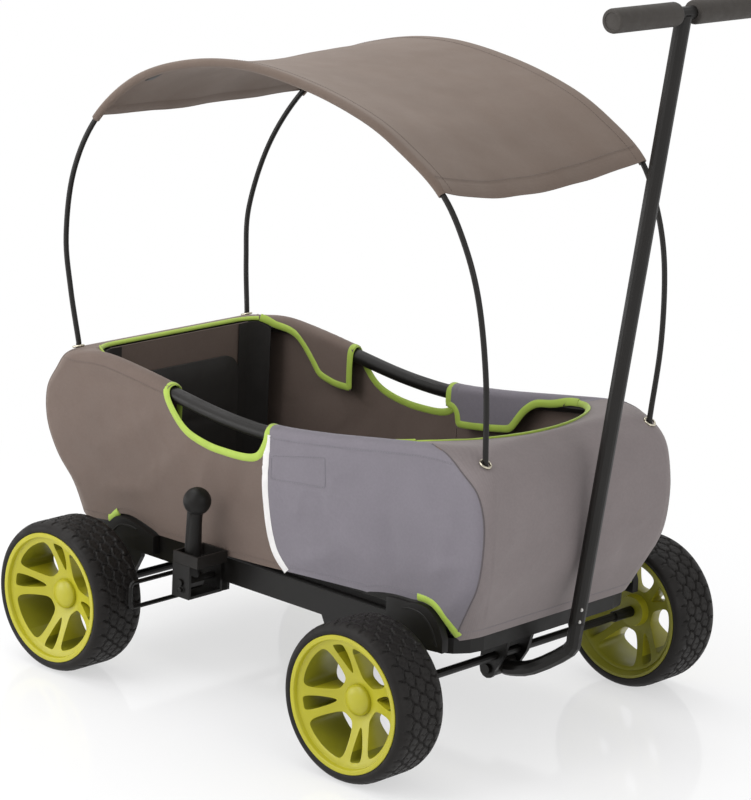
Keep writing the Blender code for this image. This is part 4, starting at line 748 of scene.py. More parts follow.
def stitches(name, path, normals):
    """A row of short threads lying on the cloth along a path."""
    length = arc_lengths(path)[-1]
    bm = bmesh.new()
    for k in range(int(length / (STITCH + STITCH_GAP))):
        start = k * (STITCH + STITCH_GAP)
        ends = resample(path, start, start + STITCH, 2)
        along = (ends[1] - ends[0]).normalized()
        nearest = min(int(start / length * (len(path) - 1)), len(path) - 1)
        up = (normals[nearest] - along * normals[nearest].dot(along)).normalized()
        out = along.cross(up)
        rings = []
        for share, size in ((0.0, 0.35), (0.2, 1.0), (0.8, 1.0), (1.0, 0.35)):
            at = ends[0].lerp(ends[1], share)
            offsets = (out, up, -out, -up)
            rings.append([bm.verts.new(at + o * THREAD_RADIUS * size) for o in offsets])
        for one, two in zip(rings, rings[1:]):
            for j in range(4):
                bm.faces.new((one[j], one[(j + 1) % 4], two[(j + 1) % 4], two[j]))
        bm.faces.new(rings[0][::-1])
        bm.faces.new(rings[-1])
    bmesh.ops.recalc_face_normals(bm, faces=bm.faces)
    return mesh_piece(name, bm)


def surface_of(panel):
    """A search tree over a piece's mesh, on the wagon's own drawing."""
    return BVHTree.FromPolygons(
        [v.co.copy() for v in panel.data.vertices], [tuple(f.vertices) for f in panel.data.polygons]
    )


def on_surface(tree, x, z, side):
    """The cloth's outer point and normal at (x, z) on one side of the tub."""
    hit, normal, _, _ = tree.ray_cast(Vector((x, side * 0.30, z)), Vector((0.0, -side, 0.0)))
    if hit is None:
        return None
    return hit, normal if normal.y * side > 0 else -normal


def rim_edge(columns):
    """The edge that is bound in lime: flap edge, sides of the hand opening and its lower edge."""
    path = []
    was_open = False
    for k, (points, is_open) in enumerate(columns):
        if is_open and not was_open and k > 0:
            path = path + columns[k - 1][0][OUTER_ROWS - 1:-1][::-1]
        if not is_open and was_open:
            path = path + points[OUTER_ROWS - 1:-1]
        path.append(points[-1])
        was_open = is_open
    return path


def binding(name, path, tree, depth, thickness):
    """Lime tape folded over a cloth edge."""
    length = arc_lengths(path)[-1]
    path = smooth_path(resample(path, 0.0, length, max(int(length / 0.007), 6)), 2)
    centres = []
    normals = []
    for k, point in enumerate(path):
        along = heading(path, k)
        _, normal, _, _ = tree.find_nearest(point)
        inward = along.cross(normal).normalized()
        one = tree.find_nearest(point + inward * 0.003)[3]
        other = tree.find_nearest(point - inward * 0.003)[3]
        inward = inward if one < other else -inward
        centres.append(point + inward * (depth * 0.75) - normal * CLOTH / 2)
        normals.append(normal)
    for _ in range(3):
        normals = [(normals[max(k - 1, 0)] + n * 2 + normals[min(k + 1, len(normals) - 1)]).normalized()
                   for k, n in enumerate(normals)]
        inner = [(a + b * 2 + c) / 4 for a, b, c in zip(centres, centres[1:], centres[2:])]
        centres = [centres[0], *inner, centres[-1]]
    piece = strip(name, centres, normals, depth, thickness, 10)
    settle(piece, LIME_BINDING, "chassis", 70.0)
    folds_with_tub(piece)
    return piece


def sewn_line(name, spots, material, body="chassis"):
    """Stitches through a list of (point, normal)."""
    path = [p + n * 0.0003 for p, n in spots]
    piece = stitches(name, path, [n for _, n in spots])
    settle(piece, material, body, 60.0)
    if body == "chassis":
        folds_with_tub(piece)
    return piece


# Outer and inner look, finish slot and thread of the panels at each end
SIDE_LOOKS = {"rear": (TAUPE, TAUPE), "front": (GREY, TAUPE)}
END_LOOKS = {"rear": (TAUPE, TAUPE), "front": (FRONT_GREY, TAUPE)}
CLOTH_SLOTS = {"rear": "taupe_cloth", "front": "grey_cloth"}
THREADS = {"rear": SEAM_THREAD, "front": GREY_THREAD}
# Sewn outline of the patch behind the stripe, as (x, height)
PATCH = ((0.014, 0.368), (0.115, 0.388), (0.118, 0.346), (0.014, 0.335), (0.014, 0.368))


def side_columns(end, side):
    """Columns of one side panel, from its outer seam to the stripe or from the stripe to its seam."""
    turn = end + "_turn_side"
    turn_shares = spread_shares(0.5, 0.0, 0.030)[:-1]
    if end == "rear":
        ends = (share_at(OPENING[0][0]), share_at(OPENING[-1][0]))
        shares = spread_shares(0.0, 1.0, SIDE_SPLIT - SIDE_START, ends)
        stations = [(turn, s) for s in turn_shares] + [("side_rear", s) for s in shares]
    else:
        shares = spread_shares(0.0, 1.0, SIDE_END - SIDE_SPLIT)
        stations = [("side_front", s) for s in shares] + [(turn, s) for s in turn_shares[::-1]]
    return [column(station, side > 0, FOLDS) for station in stations]


def end_columns(end):
    """Columns round one end, near seam to far seam."""
    turn_reach = 0.085 if end == "front" else 0.030
    half = [(end + "_turn", s) for s in spread_shares(0.5, 1.0, turn_reach)[:-1]]
    half = half + [(end + "_end", s) for s in spread_shares(-1.0, 0.0, 0.160)]
    near = [column(station, False, FOLDS) for station in half]
    far = [column(station, True, FOLDS) for station in half]
    return near + far[-2::-1]


def thread_rows(name, columns, tree, end, side):
    """Stitches above the hem and below the rim of a side panel, broken where the cloth is open."""
    rows = {"hem": [], "casing": []}
    for points, is_open in columns:
        rows["hem"].append(on_surface(tree, points[0].x, points[0].z + HEM_THREAD_RISE, side))
        if not is_open:
            x = points[OUTER_ROWS - 1].x
            rows["casing"].append(on_surface(tree, x, between(RIM_CURVE, x) - CASING_THREAD_DROP, side))
    made = []
    for word, row in rows.items():
        spots = [spot for spot in row if spot]
        gap_at = [k for k in range(1, len(spots)) if (spots[k][0] - spots[k - 1][0]).length > THREAD_GAP]
        for number, (first, last) in enumerate(zip([0, *gap_at], [*gap_at, len(spots)])):
            if last - first > 3:
                made.append(sewn_line(f"{name}_{word}_thread_{number}", spots[first:last], THREADS[end]))
    return made


def patch_thread(name, tree, side):
    """The stitched outline of the patch on a front side panel."""
    path = [Vector((x, 0.0, z)) for x, z in PATCH]
    spots = [on_surface(tree, p.x, p.z, side) for p in resample(path, 0.0, arc_lengths(path)[-1], 80)]
    return sewn_line(name, [s for s in spots if s], GREY_THREAD)


def white_tape(name, seam, tree, side):
    """The white tape over the seam between the taupe and the grey panel."""
    path = []
    normals = []
    for point in seam:
        normal = tree.find_nearest(point)[1]
        normal = normal if normal.y * side > 0 else -normal
        normals.append(normal)
        path.append(point + normal * 0.0002 + Vector((0.0005, 0.0, 0.0)))
    piece = strip(name, path, normals, TAPE_HALF_WIDTH, 0.0007)
    settle(piece, WHITE_TAPE, "chassis", 60.0)
    folds_with_tub(piece)
    return piece


def tub_side(end, side, word):
    """One side panel with its lime bindings, threads and corner seam."""
    columns = side_columns(end, side)
    name = f"side_cloth_{end}_{word}"
    panel, size, area = panel_mesh(name + "_sewn", columns)
    tree = surface_of(panel)
    notch = [points[0] for points, _ in columns if is_bound(points[0].x)]
    extras = [
        binding(name + "_binding", rim_edge(columns), tree, BINDING_DEPTH, BINDING_THICKNESS),
        binding(name + "_notch_binding", notch, tree, BINDING_DEPTH, BINDING_THICKNESS * 1.2),
        *thread_rows(name, columns, tree, end, side),
    ]
    outer_seam = columns[0][0]
    if end == "front":
        extras.append(patch_thread(name + "_patch_thread", tree, side))
        extras.append(white_tape(f"white_tape_{word}", columns[0][0][:OUTER_ROWS + 3], tree, side))
        outer_seam = columns[-1][0]
    extras.append(seam_cord(name + "_corner_seam", outer_seam[:OUTER_ROWS + 12], tree, CLOTH_SLOTS[end]))
    as_cloth(panel, SIDE_LOOKS[end], name)


def seam_cord(name, path, tree, slot_name):
    """The turned seam: a low ridge of folded cloth between two panels, with painted shade in its groove."""
    normals = []
    for p in path:
        normal = tree.find_nearest(p)[1]
        normals.append(normal if normal.dot(p - Vector((0.0, 0.0, p.z))) > 0 else -normal)
    piece = strip(name, [p + n * 0.0001 for p, n in zip(path, normals)], normals, 0.0011, 0.0009, 6)
    settle(piece, SEAM_FOLD if slot_name == "grey_cloth" else SEAM_THREAD, "chassis", 70.0)
    folds_with_tub(piece)
    return piece


def tub_end(end):
    """The panel round one end, with its binding and threads."""
    columns = end_columns(end)
    name = end + "_cloth"
    panel, size, area = panel_mesh(name + "_sewn", columns)
    tree = surface_of(panel)
    depth = BINDING_DEPTH * (0.8 if end == "front" else 0.6)
    outward = 1.0 if end == "front" else -1.0
    spots = []
    for points, _ in columns:
        point, normal, _, _ = tree.find_nearest(points[3])
        spots.append((point, normal if normal.x * outward > 0 else -normal))
    extras = [
        binding(name + "_binding", rim_edge(columns), tree, depth, BINDING_THICKNESS),
        sewn_line(name + "_hem_thread", spots, THREADS[end]),
    ]
    as_cloth(panel, END_LOOKS[end], name)


def bow_line(side, steps):
    """Centre line of one canopy bow above the rail."""
    return [Vector((p.x, side * p.y, p.z)) for p in smooth_path(BOW_POINTS, steps)]


# The canopy: one sheet stretched over the two bows, with a casing along each and hemmed ends
SHEET_REAR = -0.344
SHEET_FRONT = 0.302
SHEET_SAG = 0.014
SHEET_FRONT_SAG = 0.020
SHEET_REAR_SAG = 0.003
SHEET_LOWEST = 0.775
SHEET_ROWS = 84
SHEET_HALF_COLUMNS = 26


def canopy_grid():
    """Rows of the sheet from its rear hem to its front hem, near edge to far edge."""
    crown = [p for p in bow_line(1, 12)
             if SHEET_REAR - 0.014 < p.x < SHEET_FRONT + 0.006 and p.z > SHEET_LOWEST]
    crown = resample(crown, 0.0, arc_lengths(crown)[-1], SHEET_ROWS)
    lift_off = BOW_RADIUS + CLOTH + 0.0008
    rows = []
    for k, p in enumerate(crown):
        slope = heading(crown, k)
        up = Vector((-slope.z, 0.0, slope.x)).normalized()
        ahead = (p.x - SHEET_REAR) / (SHEET_FRONT - SHEET_REAR)
        sag = SHEET_FRONT_SAG * max(ahead, 0.0) ** 3 + SHEET_REAR_SAG * max(1.0 - ahead, 0.0) ** 3
        # The cloth hangs a little between the bows, and pulls in soft folds out of the four corners
        sag = sag + SHEET_SAG * sin(pi * min(max(ahead, 0.0), 1.0))
        row = []
        for j in range(-SHEET_HALF_COLUMNS, SHEET_HALF_COLUMNS + 1):
            share = j / SHEET_HALF_COLUMNS
            sink = sag * (1 - share * share) * (1 - 0.35 * share)
            wave = noise.noise(Vector((ahead * 5.0, share * 2.6, 0.7))) * 0.0016
            wave = wave + noise.noise(Vector((ahead * 17.0, share * 6.0, 3.1))) * 0.0005
            front_pull = exp(-((1.0 - ahead) / 0.30) ** 2) * sin(share * 13.0 + ahead * 5.0) * 0.0010
            rear_pull = exp(-(ahead / 0.25) ** 2) * sin(share * 9.0 - ahead * 7.0) * 0.0010
            free = 1 - share ** 4
            row.append(p + up * (lift_off + (wave + front_pull + rear_pull) * free)
                       + Vector((0.0, share * p.y - p.y, -sink)))
        casing = []
        for turn in (20.0, 55.0, 90.0, 125.0, 160.0, 185.0):
            reach = BOW_RADIUS + CLOTH + 0.0016
            angle = radians(turn)
            casing.append(p + Vector((0.0, reach * sin(angle), 0.0)) + up * (reach - 0.0008) * cos(angle))
        near = [Vector((q.x, -q.y, q.z)) for q in casing[::-1]]
        rows.append([*near, *row, *casing])
    return rows


def upward(tree, path):
    """The cloth's normals along a path, all pointing up."""
    normals = [tree.find_nearest(p)[1] for p in path]
    return [n if n.z > 0 else -n for n in normals]


def canopy_sheet():
    """The sun canopy with its hems, casing stitches and the buckle under its near edge."""
    rows = canopy_grid()
    along = arc_lengths([row[len(row) // 2] for row in rows])
    across = arc_lengths(rows[len(rows) // 2])
    sheet, area = layer_piece("canopy_sheet_sewn", rows, lambda k, j: (across[j], along[k]))
    tree = surface_of(sheet)
    if sum(f.normal.z * f.area for f in sheet.data.polygons) < 0:
        sheet.data.flip_normals()
    thicken(sheet, CLOTH, -1.0)
    settle(sheet, CANOPY_TAUPE, "canopy", 60.0)
    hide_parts("canopy_sheet")
    lows = len(rows[0]) // 2 - SHEET_HALF_COLUMNS
    for word, edge, inner in (("rear", 0, 3), ("front", SHEET_ROWS - 1, SHEET_ROWS - 4)):
        # The end is folded back on itself, so it is twice as thick for 20 mm
        line = rows[edge][lows:-lows]
        tucked = rows[inner][lows:-lows]
        hem_path = [a.lerp(b, 0.5) - Vector((0.0, 0.0, CLOTH / 2)) for a, b in zip(line, tucked)]
        toward = (tucked[0] - line[0]).length / 2
        normals = upward(tree, hem_path)
        hem = strip(f"canopy_{word}_hem", hem_path, normals, toward, 0.00135, 8)
        settle(hem, CANOPY_TAUPE, "canopy", 70.0)
        spots = [(p + n * 0.0008, n) for p, n in zip(tucked, normals)]
        sewn_line(f"canopy_{word}_thread", spots, SEAM_THREAD, "canopy")
    for side, word in SIDES:
        column_at = lows + (2 if side < 0 else 2 * SHEET_HALF_COLUMNS - 2)
        path = [row[column_at] for row in rows]
        normals = upward(tree, path)
        sewn_line(f"canopy_casing_thread_{word}", list(zip(path, normals)), SEAM_THREAD,
                                "canopy")
    buckle_at = rows[16][lows + 1]
    bpy.ops.mesh.primitive_cube_add(size=1.0, location=buckle_at - Vector((0.0, 0.0, 0.009)))
    buckle = bpy.context.object
    buckle.name = "canopy_buckle"
    buckle.scale = (0.030, 0.016, 0.007)
    buckle.rotation_euler = (0.0, radians(-30), 0.0)
    bpy.ops.object.transform_apply(scale=True)
    round_edges(buckle, 0.0022, 3)
    settle(buckle, BLACK_PLASTIC, "canopy")


def spun(name, profile, steps):
    """A closed profile of (radius, height) spun about Z."""
    bpy.ops.mesh.primitive_circle_add(vertices=3, radius=0.001, location=(0.0, 0.0, 0.0))
    obj = bpy.context.object
    obj.name = name
    bm = bmesh.new()
    points = [bm.verts.new((r, 0.0, z)) for r, z in profile]
    for a, b in zip(points, points[1:]):
        bm.edges.new((a, b))
    if profile[0][0] > 0 or profile[-1][0] > 0:
        bm.edges.new((points[-1], points[0]))
    bm.to_mesh(obj.data)
    bm.free()
    pick(obj)
    bpy.ops.object.mode_set(mode="EDIT")
    bpy.ops.mesh.select_all(action="SELECT")
    bpy.ops.mesh.spin(steps=steps, angle=2 * pi, center=(0.0, 0.0, 0.0), axis=(0.0, 0.0, 1.0))
    bpy.ops.mesh.select_all(action="SELECT")
    bpy.ops.mesh.remove_doubles(threshold=0.00002)
    bpy.ops.mesh.normals_make_consistent(inside=False)
    bpy.ops.object.mode_set(mode="OBJECT")
    return obj


def prism(name, outline, low, high):
    """A cutter: an outline in local XY, run from low to high along Z."""
    bm = bmesh.new()
    bottom = [bm.verts.new((x, y, low)) for x, y in outline]
    face = bm.faces.new(bottom)
    top = bmesh.ops.extrude_face_region(bm, geom=[face])["geom"]
    for vert in [v for v in top if isinstance(v, bmesh.types.BMVert)]:
        vert.co.z = high
    bmesh.ops.recalc_face_normals(bm, faces=bm.faces)
    return mesh_piece(name, bm)


def subtract(obj, *cutters):
    """Cuts the cutters out of the object and removes them."""
    for cutter in cutters:
        hole = obj.modifiers.new("Cut", "BOOLEAN")
        hole.operation = "DIFFERENCE"
        hole.solver = "EXACT"
        hole.object = cutter
        apply_modifiers(obj)
        bpy.data.objects.remove(cutter)


def polar_outline(points):
    """A smooth closed outline through (radius, angle in degrees) points."""
    flat = [Vector((r * cos(radians(a)), r * sin(radians(a)), 0.0)) for r, a in points]
    ring = [flat[-1], *flat, flat[0], flat[1]]
    return [(p.x, p.y) for p in curve_through(ring, OUTLINE_STEPS)]


def turned_outline(outline, angle):
    """A flat outline turned about its origin."""
    return [(x * cos(angle) - y * sin(angle), x * sin(angle) + y * cos(angle)) for x, y in outline]


# Openings of a wheel as (radius, degrees) about X: a large window, and the leaf inside a pair of spokes
WINDOW = (
    (0.0325, -13.0), (0.0312, 0.0), (0.0325, 13.0), (0.0370, 20.0), (0.0450, 24.0), (0.0560, 26.5),
    (0.0680, 27.5), (0.0760, 26.5), (0.0797, 22.5), (0.0800, 12.0), (0.0800, 0.0), (0.0800, -12.0),
    (0.0797, -22.5), (0.0760, -26.5), (0.0680, -27.5), (0.0560, -26.5), (0.0450, -24.0), (0.0370, -20.0),
)
LEAF = (
    (0.0372, 0.0), (0.0395, 3.0), (0.0450, 5.0), (0.0540, 6.8), (0.0640, 7.6), (0.0745, 7.4),
    (0.0797, 5.8), (0.0802, 0.0), (0.0797, -5.8), (0.0745, -7.4), (0.0640, -7.6), (0.0540, -6.8),
    (0.0450, -5.0), (0.0395, -3.0),
)
OPENING_DEPTHS = (-0.084, 0.01)
OUTLINE_STEPS = 6
RIM_LOOKS = (LIME_PLASTIC, LIME_PLASTIC_PAINTED_SHADE)
SPOKE_TURNS = {"front_near": 15.0, "rear_near": -5.0, "front_far": 35.0, "rear_far": 20.0}


def dish_height(radius):
    """Face of the spokes below the rim's outer face: a deep bowl with a flat hub."""
    if radius <= HUB_RADIUS:
        return -HUB_RECESS
    share = min((radius - HUB_RADIUS) / (BARREL_INNER - HUB_RADIUS), 1.0)
    return -HUB_RECESS + (HUB_RECESS - DISH_DEPTH) * share ** 1.25


def wheel_rim(name, spin):
    """The moulded wheel: flat lip, barrel, and eight spokes in pairs that fall to a sunk hub."""
    width = WHEEL_WIDTH
    hub_back = -HUB_RECESS - HUB_LENGTH
    radii = [BARREL_INNER - (BARREL_INNER - HUB_RADIUS) * k / 9 for k in range(10)]
    front = [(r, dish_height(r)) for r in radii]
    back = [(r, -0.050 - 0.028 * (1 - k / 9) ** 1.5) for k, r in enumerate(radii)]
    profile = [
        (RIM_RADIUS - 0.0006, 0.0), (RIM_RADIUS, -0.0006), (RIM_RADIUS, -0.004), (TYRE_SEAT, -0.008),
        (TYRE_SEAT, -width + 0.008), (RIM_RADIUS, -width + 0.004), (RIM_RADIUS, -width + 0.0006),
        (RIM_RADIUS - 0.0006, -width), (RIM_RADIUS - 0.004, -width), (BARREL_INNER + 0.001, -width + 0.010),
        (BARREL_INNER + 0.0005, -0.0775), *back[1:], (HUB_RADIUS - 0.002, hub_back), (AXLE_BORE, hub_back),
        (AXLE_BORE, -HUB_RECESS), *front[::-1], (0.0868, -DISH_DEPTH), (0.0876, -DISH_DEPTH + 0.0004),
        (0.0882, -0.0010), (0.0888, -0.0002), (0.0894, 0.0),
    ]
    rim = spun(name, profile, 96)
    cutters = []
    for k in range(4):
        angle = radians(spin + 90.0 * k)
        for word, opening, turn in (("leaf", LEAF, angle), ("window", WINDOW, angle + pi / 4)):
            cutters.append(prism(word, turned_outline(polar_outline(opening), turn), *OPENING_DEPTHS))
    subtract(rim, *cutters)
    round_edges(rim, 0.0011, 2, 50.0)
    apply_modifiers(rim)
    # The barrel and everything behind the spokes take a darker copy of the lime plastic: painted shade
    rim.data.materials.clear()
    for look in RIM_LOOKS:
        rim.data.materials.append(look)
    for face in rim.data.polygons:
        depth = face.center.z
        reach = Vector((face.center.x, face.center.y, 0.0))
        faces_in = abs(face.normal.z) < 0.5 and face.normal.dot(reach) < 0
        behind = depth < -0.062 or (depth < -0.036 and face.normal.z < -0.3)
        in_barrel = faces_in and reach.length > 0.060 and depth < -0.022
        face.material_index = int(behind or in_barrel)
    return rim


# Tread: columns and blocks round the tyre, depth of the grooves, the wavy grooves that run round it as
# (place across, phase), and the rows of blocks between them as (from, to, phase)
TREAD_AROUND = 420
TREAD_PITCHES = 30
GROOVE_DEPTH = 0.0027
RUNNING_GROOVES = ((-0.0225, 0.10), (-0.0075, 0.60), (0.0075, 0.10), (0.0225, 0.60))
BLOCK_ROWS = (
    (-0.05, -0.0225, 0.30), (-0.0225, -0.0075, 0.80), (-0.0075, 0.0075, 0.30), (0.0075, 0.0225, 0.80),
    (0.0225, 0.05, 0.30),
)
BLOCK_ROW_WIDTH = 0.015


def zigzag(t):
    """A rounded zigzag between -1 and 1 with period 1."""
    return sin(2 * pi * t) * 0.75 + sin(6 * pi * t) * -0.12


def groove(distance, half_width):
    """Depth share of a groove at that distance from its middle."""
    edge = (half_width - abs(distance)) / 0.0011
    return min(max(edge, 0.0), 1.0)


def tread_depth(turn_share, across):
    """Depth of the tread at a share of a turn and a place across it, from -1 to 1."""
    length = 2 * pi * TYRE_RADIUS / TREAD_PITCHES
    y = across * WHEEL_WIDTH / 2
    pitch = turn_share * TREAD_PITCHES
    depth = 0.0
    for middle, phase in RUNNING_GROOVES:
        line = middle + 0.0036 * zigzag(pitch + phase)
        depth = max(depth, groove(y - line, 0.0019))
    for low, high, shift in BLOCK_ROWS:
        if low <= y <= high:
            over = (y - low) / BLOCK_ROW_WIDTH
            wave = 0.10 * sin(2 * pi * over) + 0.22 * over
            # A groove between two blocks, and a shallow sipe halfway along each
            for start, share, half_width in ((0.0, 1.0, 0.0017), (0.5, 0.5, 0.0010)):
                off = (pitch + shift + wave + start) % 1.0
                off = min(off, 1.0 - off) * length
                depth = max(depth, share * groove(off, half_width))
    return depth


def tyre(name):
    """The tyre: smooth rounded sidewalls, and a block tread cut by wavy grooves over the shoulders."""
    half = WHEEL_WIDTH / 2
    section = []
    side_wall = ((0.0952, 0.0015), (0.0975, 0.0003), (0.1010, 0.0), (0.1042, 0.0012), (0.1066, 0.0036))
    for r, z in side_wall:
        section.append((r, -z, 0.0))
    shoulder = ((0.1082, 0.0066, 0.55), (0.1094, 0.0098, 0.9), (0.1102, 0.0125, 1.0), (0.1105, 0.0155, 1.0))
    for r, z, share in shoulder:
        section.append((r, -z, share))
    flat = 44
    for k in range(1, flat):
        section.append((TYRE_RADIUS, -0.0155 - (WHEEL_WIDTH - 0.031) * k / flat, 1.0))
    for r, z, share in shoulder[::-1]:
        section.append((r, -WHEEL_WIDTH + z, share))
    for r, z in side_wall[::-1]:
        section.append((r, -WHEEL_WIDTH + z, 0.0))
    inner = ((0.0952, -WHEEL_WIDTH + 0.0045), (0.0908, -WHEEL_WIDTH + 0.0085), (0.0908, -0.0085),
             (0.0952, -0.0045))
    for r, z in inner:
        section.append((r, z, 0.0))
    bm = bmesh.new()
    rings = []
    for k in range(TREAD_AROUND):
        share = k / TREAD_AROUND
        angle = 2 * pi * share
        ring = []
        for r, z, cut_share in section:
            if cut_share > 0:
                r = r - GROOVE_DEPTH * cut_share * tread_depth(share, (z + half) / half)
            ring.append(bm.verts.new((r * cos(angle), r * sin(angle), z)))
        rings.append(ring)
    for k in range(TREAD_AROUND):
        one, two = rings[k], rings[(k + 1) % TREAD_AROUND]
        for j in range(len(section)):
            following = (j + 1) % len(section)
            bm.faces.new((one[j], two[j], two[following], one[following]))
    bmesh.ops.recalc_face_normals(bm, faces=bm.faces)
    return mesh_piece(name, bm)


def hub_cap(name):
    """The domed cap in the middle of a wheel, in its shallow ring."""
    base = -HUB_RECESS
    angles = [radians(a) for a in range(0, 91, 9)]
    dome = [(CAP_RADIUS * sin(a), base + 0.0022 + 0.0085 * cos(a)) for a in angles]
    profile = [(0.0, dome[0][1]), *dome[1:], (CAP_RADIUS, base + 0.0003), (0.0110, base + 0.0003),
               (0.0110, base + 0.0062), (0.0, base + 0.0062)]
    return spun(name, profile, 48)


def stand(piece, place, turn, material, body, smooth, replaced):
    """Puts a finished piece where its CAD node is, and lets it stand for the node."""
    piece.location = place
    piece.rotation_euler = turn
    settle(piece, material, body, smooth)
    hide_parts(replaced)


def wheels():
    """Four wheels, each a tyre, a rim and a cap."""
    for direction, end in ENDS:
        for side, word in SIDES:
            place = (direction * WHEELBASE / 2, side * WHEEL_OUTER_FACE, TYRE_RADIUS)
            turn = (-side * QUARTER, 0.0, 0.0)
            body = f"{end}_wheel_{word}"
            spin = -side * SPOKE_TURNS[f"{end}_{word}"]
            stand(tyre(f"{end}_tyre_{word}_treaded"), place, turn, RUBBER, body, 34.0,
                  f"{end}_tyre_{word}")
            stand(wheel_rim(f"{end}_rim_{word}_moulded", spin), place, turn, RIM_LOOKS, body,
                  38.0, f"{end}_rim_{word}")
            stand(hub_cap(f"{end}_hub_cap_{word}_domed"), place, turn, LIME_PLASTIC, body,
                  50.0, f"{end}_hub_cap_{word}")


def screw(name, place, direction, radius, material):
    """A hexagon head with its washer, standing on a face of the chassis."""
    profile = [(0.0, 0.0), (radius * 1.35, 0.0), (radius * 1.35, 0.0008), (radius * 1.02, 0.0010),
               (0.0, 0.0010)]
    washer = spun(name + "_washer", profile, 24)
    bpy.ops.mesh.primitive_cylinder_add(vertices=6, radius=radius, depth=radius * 1.1,
                                        location=(0, 0, radius * 0.55))
    head = bpy.context.object
    head.name = name
    deselect()
    head.select_set(True)
    washer.select_set(True)
    bpy.context.view_layer.objects.active = head
    bpy.ops.object.join()
    round_edges(head, radius * 0.12, 2)
    apply_modifiers(head)
    pick(head)
    bpy.ops.object.transform_apply(location=True, rotation=True, scale=True)
    head.rotation_mode = "QUATERNION"
    head.rotation_quaternion = Vector((0.0, 0.0, 1.0)).rotation_difference(Vector(direction))
    head.location = place
    settle(head, material, "chassis")


def eyelets():
    """A pressed ring round each pole hole in the end panels."""
    rear = (-1, "rear", REAR_POLE_X, between(RIM_CURVE, REAR_POLE_X) - 0.0023, 17)
    front = (1, "front", FRONT_POLE_X, 0.4335, 30)
    for direction, end, pole_x, level, slope in (rear, front):
        for side, word in SIDES:
            bpy.ops.mesh.primitive_torus_add(major_radius=0.0078, minor_radius=0.0016, major_segments=40,
                                             minor_segments=10, location=(0.0, 0.0, 0.0))
            ring = bpy.context.object
            ring.name = f"{end}_eyelet_{word}"
            ring.rotation_euler = (0.0, direction * radians(slope), 0.0)
            ring.location = (pole_x + direction * 0.0006, side * POLE_Y, level)
            settle(ring, BRASS, "rail", 60.0)


def bows():
    """The two canopy bows, smooth, with their straight feet."""
    for side, word in SIDES:
        path = bow_line(side, 8)
        rear = Vector((REAR_POLE_X, side * POLE_Y, REAR_POLE_FOOT))
        front = Vector((FRONT_POLE_X, side * POLE_Y, FRONT_POLE_FOOT))
        straight = Vector((0.0, 0.0, 0.08))
        path = [rear, rear + straight, *path, front + straight, front]
        normals = [Vector((0.0, 1.0, 0.0)) for _ in path]
        bow = strip(f"canopy_bow_{word}_round", path, normals, BOW_RADIUS, BOW_RADIUS, 14)
        settle(bow, TUBE_PAINT, "canopy", 60.0)
        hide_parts(f"canopy_bow_{word}")


def rail_sleeve():
    """Smooth sleeves round the rail where the hands take hold, in the two openings."""
    radius = RAIL_RADIUS + 0.0006
    for side, word in SIDES:
        xs = [-0.203 + 0.204 * k / 40 for k in range(41)]
        path = [Vector((x, side * RAIL_HALF_WIDTH, between(RIM_CURVE, x) - RIM_ABOVE_RAIL)) for x in xs]
        normals = [Vector((0.0, 0.0, 1.0)) for _ in path]
        sleeve = strip(f"hand_rail_{word}", path, normals, radius, radius, 24)
        settle(sleeve, TUBE_PAINT, "rail", 60.0)


# The walls inside the rear end hang from a little below the rail: their foot and their upper edge
LINING_FOOT = 0.212
LINING_TOP = 0.4335
LINING_ROWS = 16


def hung_sheet(name, plan, tops, material):
    """A sheet of cloth hanging straight down inside the tub along a line in plan."""
    columns = []
    for (x, y), top in zip(plan, tops):
        rise = (top - LINING_FOOT) / LINING_ROWS
        columns.append([Vector((x, y, LINING_FOOT + rise * k)) for k in range(LINING_ROWS + 1)])
    piece, area = layer_piece(name, columns)
    thicken(piece, 0.0012, 0.0)
    settle(piece, material, "chassis", 60.0)
    folds_with_tub(piece)


def lining():
    """The inner wall of the rear end, and black lining in its two corners."""
    wall = [(-0.3833, -0.144 + 0.288 * k / 24) for k in range(25)]
    hung_sheet("rear_inner_wall", wall, [LINING_TOP] * len(wall), TAUPE)
    for side, word in SIDES:
        turn = [radians(a) for a in range(0, 66, 5)]
        plan = [(-0.3805, -0.1235), (-0.3805, -0.132)]
        plan = plan + [(-0.3450 - 0.0362 * cos(a), -0.1400 - 0.0362 * sin(a)) for a in turn]
        tops = [LINING_TOP - 0.013 * max(k / len(plan) - 0.5, 0.0) / 0.5 for k in range(len(plan))]
        plan = [(x, -side * y) for x, y in plan]
        hung_sheet(f"corner_lining_{word}", plan, tops, LINING)


